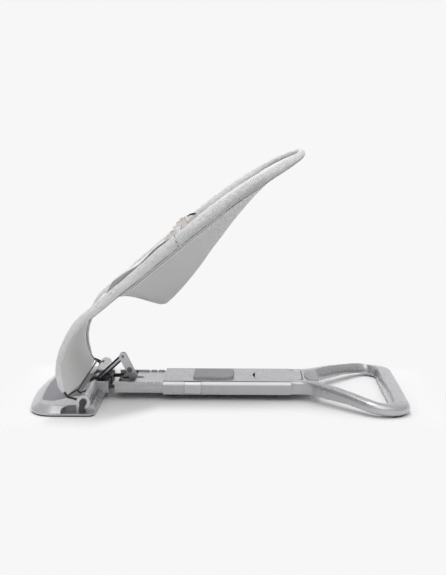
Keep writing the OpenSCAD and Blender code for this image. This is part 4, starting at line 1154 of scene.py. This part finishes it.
# the hinge cap's radius at each step outward from the disc
CAP_STEPS = ((0.0046, -0.0006), (0.0052, 0.0), (0.0050, 0.0005), (0.0040, 0.0010),
             (0.0022, 0.0013), (0.0005, 0.0014))
CAP_SIDES = 32


class BOUNCER_OT_frame_parts(bpy.types.Operator):
    """Gives the metal, rubber and plastic pieces their soft edges and finish"""
    bl_idname = "bouncer.frame_parts"
    bl_label = "Frame parts"

    def execute(self, context):
        for node, key, body, slot, bevel in RIGID:
            dress(node, key, body, bevel * MM)
        for node, key in PLAIN:
            finish_node(node, key)
        # the springs under the release pad, on a mesh of their own
        low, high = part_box("pad_springs")
        springs = dress("pad_springs", "steel", "rear_base", 0.0)
        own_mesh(springs)
        # the side buttons slide over the bottom plate with a hair of room
        plate = bpy.data.objects["rear_bottom_plate_finish"].data
        top = max(v.co.z for v in plate.vertices)
        for v in plate.vertices:
            if v.co.z > top - PLATE_TOP_WITHIN:
                v.co.z -= PLATE_ROOM
        # dark lines in the grooves between the deck and its bevels, painted shade
        low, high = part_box("rear_body_shell")
        for end, side in SIDES:
            path = [Vector((mix(low.x + DECK_SHADE_FROM, high.x, k / 60),
                            side * (high.y - DECK_SHADE_INSET), high.z - DECK_SHADE_RADIUS))
                    for k in range(61)]
            tube("deck_seal_" + end, path, DECK_SHADE_RADIUS, "grey_plastic", "rear_base",
                 sides=10)
        # domed caps that close the hinge clips over the ends of the shaft
        for end, side in SIDES:
            low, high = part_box("hub_disc_" + end)
            edge = high.y if side > 0 else low.y
            turns = [2 * math.pi * k / CAP_SIDES for k in range(CAP_SIDES)]
            verts, faces = loft([[HUB + Vector((r * math.cos(a), edge - HUB.y + side * step,
                                                r * math.sin(a))) for a in turns]
                                 for r, step in CAP_STEPS])
            make_piece("hinge_cap_" + end, verts, faces, "plastic", "seat_frame")
        return {"FINISHED"}


# the floor reaches back to a round cove and up to a wall, in metres
FLOOR_HALF, FLOOR_DROP = 6.0, 0.0002
COVE_FROM, COVE_RADIUS, COVE_STEPS = 2.2, 1.2, 12
# half the base's length, and how far beside it the floor fades into the backdrop
FADE_BEYOND, FADE_WIDTH = 0.39, 0.11
# where the footprint narrows behind the foot and widens to the loop: x from and to, and
# half width from and to
FOOT_PRINT, LOOP_PRINT = (-0.25, -0.13, 0.205, 0.070), (0.17, 0.33, 0.0, 0.11)
FLOOR_SEEN_SHARE = 0.85  # of the floor's colour, in direct view
LAMP_AT, LAMP_TO = Vector((0.0, 0.66, 2.1)), Vector((0.0, 0.0, 0.05))
LAMP_SIZE, LAMP_POWER = 0.45, 11.0
# the camera's place and lens in millimetres, and how far it looks down and aside in radians
CAMERA_AT = (56.12, -2392.26, 591.14)
CAMERA_PITCH, CAMERA_YAW = 0.14660, -0.02284
CAMERA_LENS, CAMERA_SENSOR = 69.309704, 36.0


def build_floor(scene, tone):
    """A floor, cove and wall that show as even backdrop away from the object's shadow"""
    profile = [(-FLOOR_HALF, 0.0), (COVE_FROM, 0.0)]
    for k in range(1, COVE_STEPS + 1):
        a = math.radians(90 * k / COVE_STEPS)
        profile.append((COVE_FROM + COVE_RADIUS * math.sin(a),
                        COVE_RADIUS - COVE_RADIUS * math.cos(a)))
    profile.append((COVE_FROM + COVE_RADIUS, FLOOR_HALF))
    verts, faces = [], []
    for y, z in profile:
        verts += [(-FLOOR_HALF, y, z - FLOOR_DROP), (FLOOR_HALF, y, z - FLOOR_DROP)]
    for k in range(len(profile) - 1):
        faces.append((2 * k, 2 * k + 1, 2 * k + 3, 2 * k + 2))
    mesh = bpy.data.meshes.new("studio_floor")
    mesh.from_pydata(verts, [], faces)
    for poly in mesh.polygons:
        poly.use_smooth = True
    floor = bpy.data.objects.new("studio_floor", mesh)
    scene.collection.objects.link(floor)

    made, t, shader = new_material("Studio floor", 0.9, specular=0.1)
    seen = t.node("LightPath").outputs["Is Camera Ray"]
    t.join(t.blend(seen, rgba(tone), rgba(tone, FLOOR_SEEN_SHARE)), shader.inputs["Base Color"])
    place = t.parts(t.node("TexCoord").outputs["Object"])
    foot, loop = t.spread(place["X"], *FOOT_PRINT), t.spread(place["X"], *LOOP_PRINT)
    beside = t.math("SUBTRACT", t.math("ABSOLUTE", place["Y"]), t.math("ADD", foot, loop))
    beyond = t.math("SUBTRACT", t.math("ABSOLUTE", place["X"]), FADE_BEYOND)
    away = t.math("MAXIMUM", beside, beyond)
    away = t.math("MAXIMUM", away, t.math("MULTIPLY", place["Z"], 9.0))
    fade = t.node("MapRange", interpolation_type="SMOOTHSTEP")
    for index, item in enumerate((away, 0.0, FADE_WIDTH, 0.0, 1.0)):
        t.put(fade.inputs[index], item)
    glow = t.node("Emission")
    glow.inputs["Color"].default_value = rgba(tone)
    both = t.node("MixShader")
    t.join(t.math("MULTIPLY", fade.outputs[0], seen), both.inputs[0])
    t.join(shader.outputs[0], both.inputs[1])
    t.join(glow.outputs[0], both.inputs[2])
    t.join(both.outputs[0], made.node_tree.nodes["Material Output"].inputs["Surface"])
    mesh.materials.append(made)


def light_studio(scene, tone):
    """A soft sky with a bright top and a soft box, and one lamp from above and behind"""
    world = bpy.data.worlds.new("Studio")
    scene.world = world
    world.use_nodes = True
    t = Tree(world.node_tree)
    back = world.node_tree.nodes["Background"]
    aim = t.parts(t.node("TexCoord").outputs["Generated"])
    rise = t.math("POWER", t.math("MAXIMUM", aim["Z"], 0.0), 0.8)
    front = t.spread(aim["Y"], 0.2, -0.9, 0.0, 0.06)
    level = t.math("ADD", t.spread(rise, 0.0, 1.0, 0.46, 0.92), front)
    level = t.math("ADD", level, t.spread(aim["Z"], 0.95, 0.985, 0.0, 1.6))
    # a soft box above and in front of the object, which its bevels reflect
    toward = t.math("ADD", t.math("MULTIPLY", aim["Y"], -0.67),
                    t.math("MULTIPLY", aim["Z"], 0.74))
    level = t.math("ADD", level, t.spread(toward, 0.90, 0.955, 0.0, 1.3))
    seen = t.node("LightPath").outputs["Is Camera Ray"]
    level = t.math("ADD", t.math("MULTIPLY", level, t.math("SUBTRACT", 1.0, seen)),
                   t.math("MULTIPLY", seen, tone[0]))
    t.join(level, back.inputs["Strength"])
    back.inputs["Color"].default_value = (1.0, 1.0, 1.0, 1.0)

    lamp = bpy.data.lights.new("key_light", "AREA")
    lamp.shape = "SQUARE"
    lamp.size = LAMP_SIZE
    lamp.energy = LAMP_POWER
    shown = bpy.data.objects.new("key_light", lamp)
    shown.location = LAMP_AT
    shown.rotation_euler = (LAMP_TO - LAMP_AT).to_track_quat("-Z", "Y").to_euler()
    scene.collection.objects.link(shown)


def place_camera(scene):
    """One camera that looks at the seat's side from a little above"""
    made = bpy.data.cameras.new("camera")
    made.sensor_width = CAMERA_SENSOR
    made.lens = CAMERA_LENS
    made.clip_start, made.clip_end = 0.05, 50.0
    camera = bpy.data.objects.new("camera", made)
    camera.location = mm(*CAMERA_AT)
    level = math.cos(CAMERA_PITCH)
    ahead = Vector((math.sin(CAMERA_YAW) * level, math.cos(CAMERA_YAW) * level,
                    -math.sin(CAMERA_PITCH)))
    camera.rotation_euler = ahead.to_track_quat("-Z", "Y").to_euler()
    scene.collection.objects.link(camera)
    scene.camera = camera


class BOUNCER_OT_stage(bpy.types.Operator):
    """Builds the floor and backdrop, the light and the camera"""
    bl_idname = "bouncer.stage"
    bl_label = "Stage"

    def execute(self, context):
        scene = context.scene
        tone = scene.bouncer_colours.floor
        build_floor(scene, tone)
        light_studio(scene, tone)
        place_camera(scene)
        scene.view_settings.view_transform = "Standard"
        return {"FINISHED"}


class BOUNCER_PT_panel(bpy.types.Panel):
    """Lists the bouncer seat's building steps"""
    bl_idname = "BOUNCER_PT_panel"
    bl_label = "Bouncer seat"
    bl_space_type = "VIEW_3D"
    bl_region_type = "UI"
    bl_category = "Bouncer seat"

    def draw(self, context):
        for step in STEPS:
            self.layout.operator(step.bl_idname)
        for values, kind in ((context.scene.bouncer_sizes, BouncerSizes),
                             (context.scene.bouncer_colours, BouncerColours)):
            for key in kind.__annotations__:
                self.layout.prop(values, key)


STEPS = (BOUNCER_OT_stage, BOUNCER_OT_frame_parts, BOUNCER_OT_wires, BOUNCER_OT_sleeve,
         BOUNCER_OT_sling, BOUNCER_OT_leg_panel, BOUNCER_OT_harness)
CLASSES = (BouncerSizes, BouncerColours) + STEPS + (BOUNCER_PT_panel,)


def register():
    for made in CLASSES:
        bpy.utils.register_class(made)
    bpy.types.Scene.bouncer_sizes = PointerProperty(type=BouncerSizes)
    bpy.types.Scene.bouncer_colours = PointerProperty(type=BouncerColours)


def unregister():
    del bpy.types.Scene.bouncer_sizes
    del bpy.types.Scene.bouncer_colours
    for made in reversed(CLASSES):
        bpy.utils.unregister_class(made)


def main():
    register()
    for step in STEPS:
        getattr(bpy.ops.bouncer, step.bl_idname.partition(".")[2])()
    bpy.context.view_layer.update()


if __name__ == "__main__":
    main()
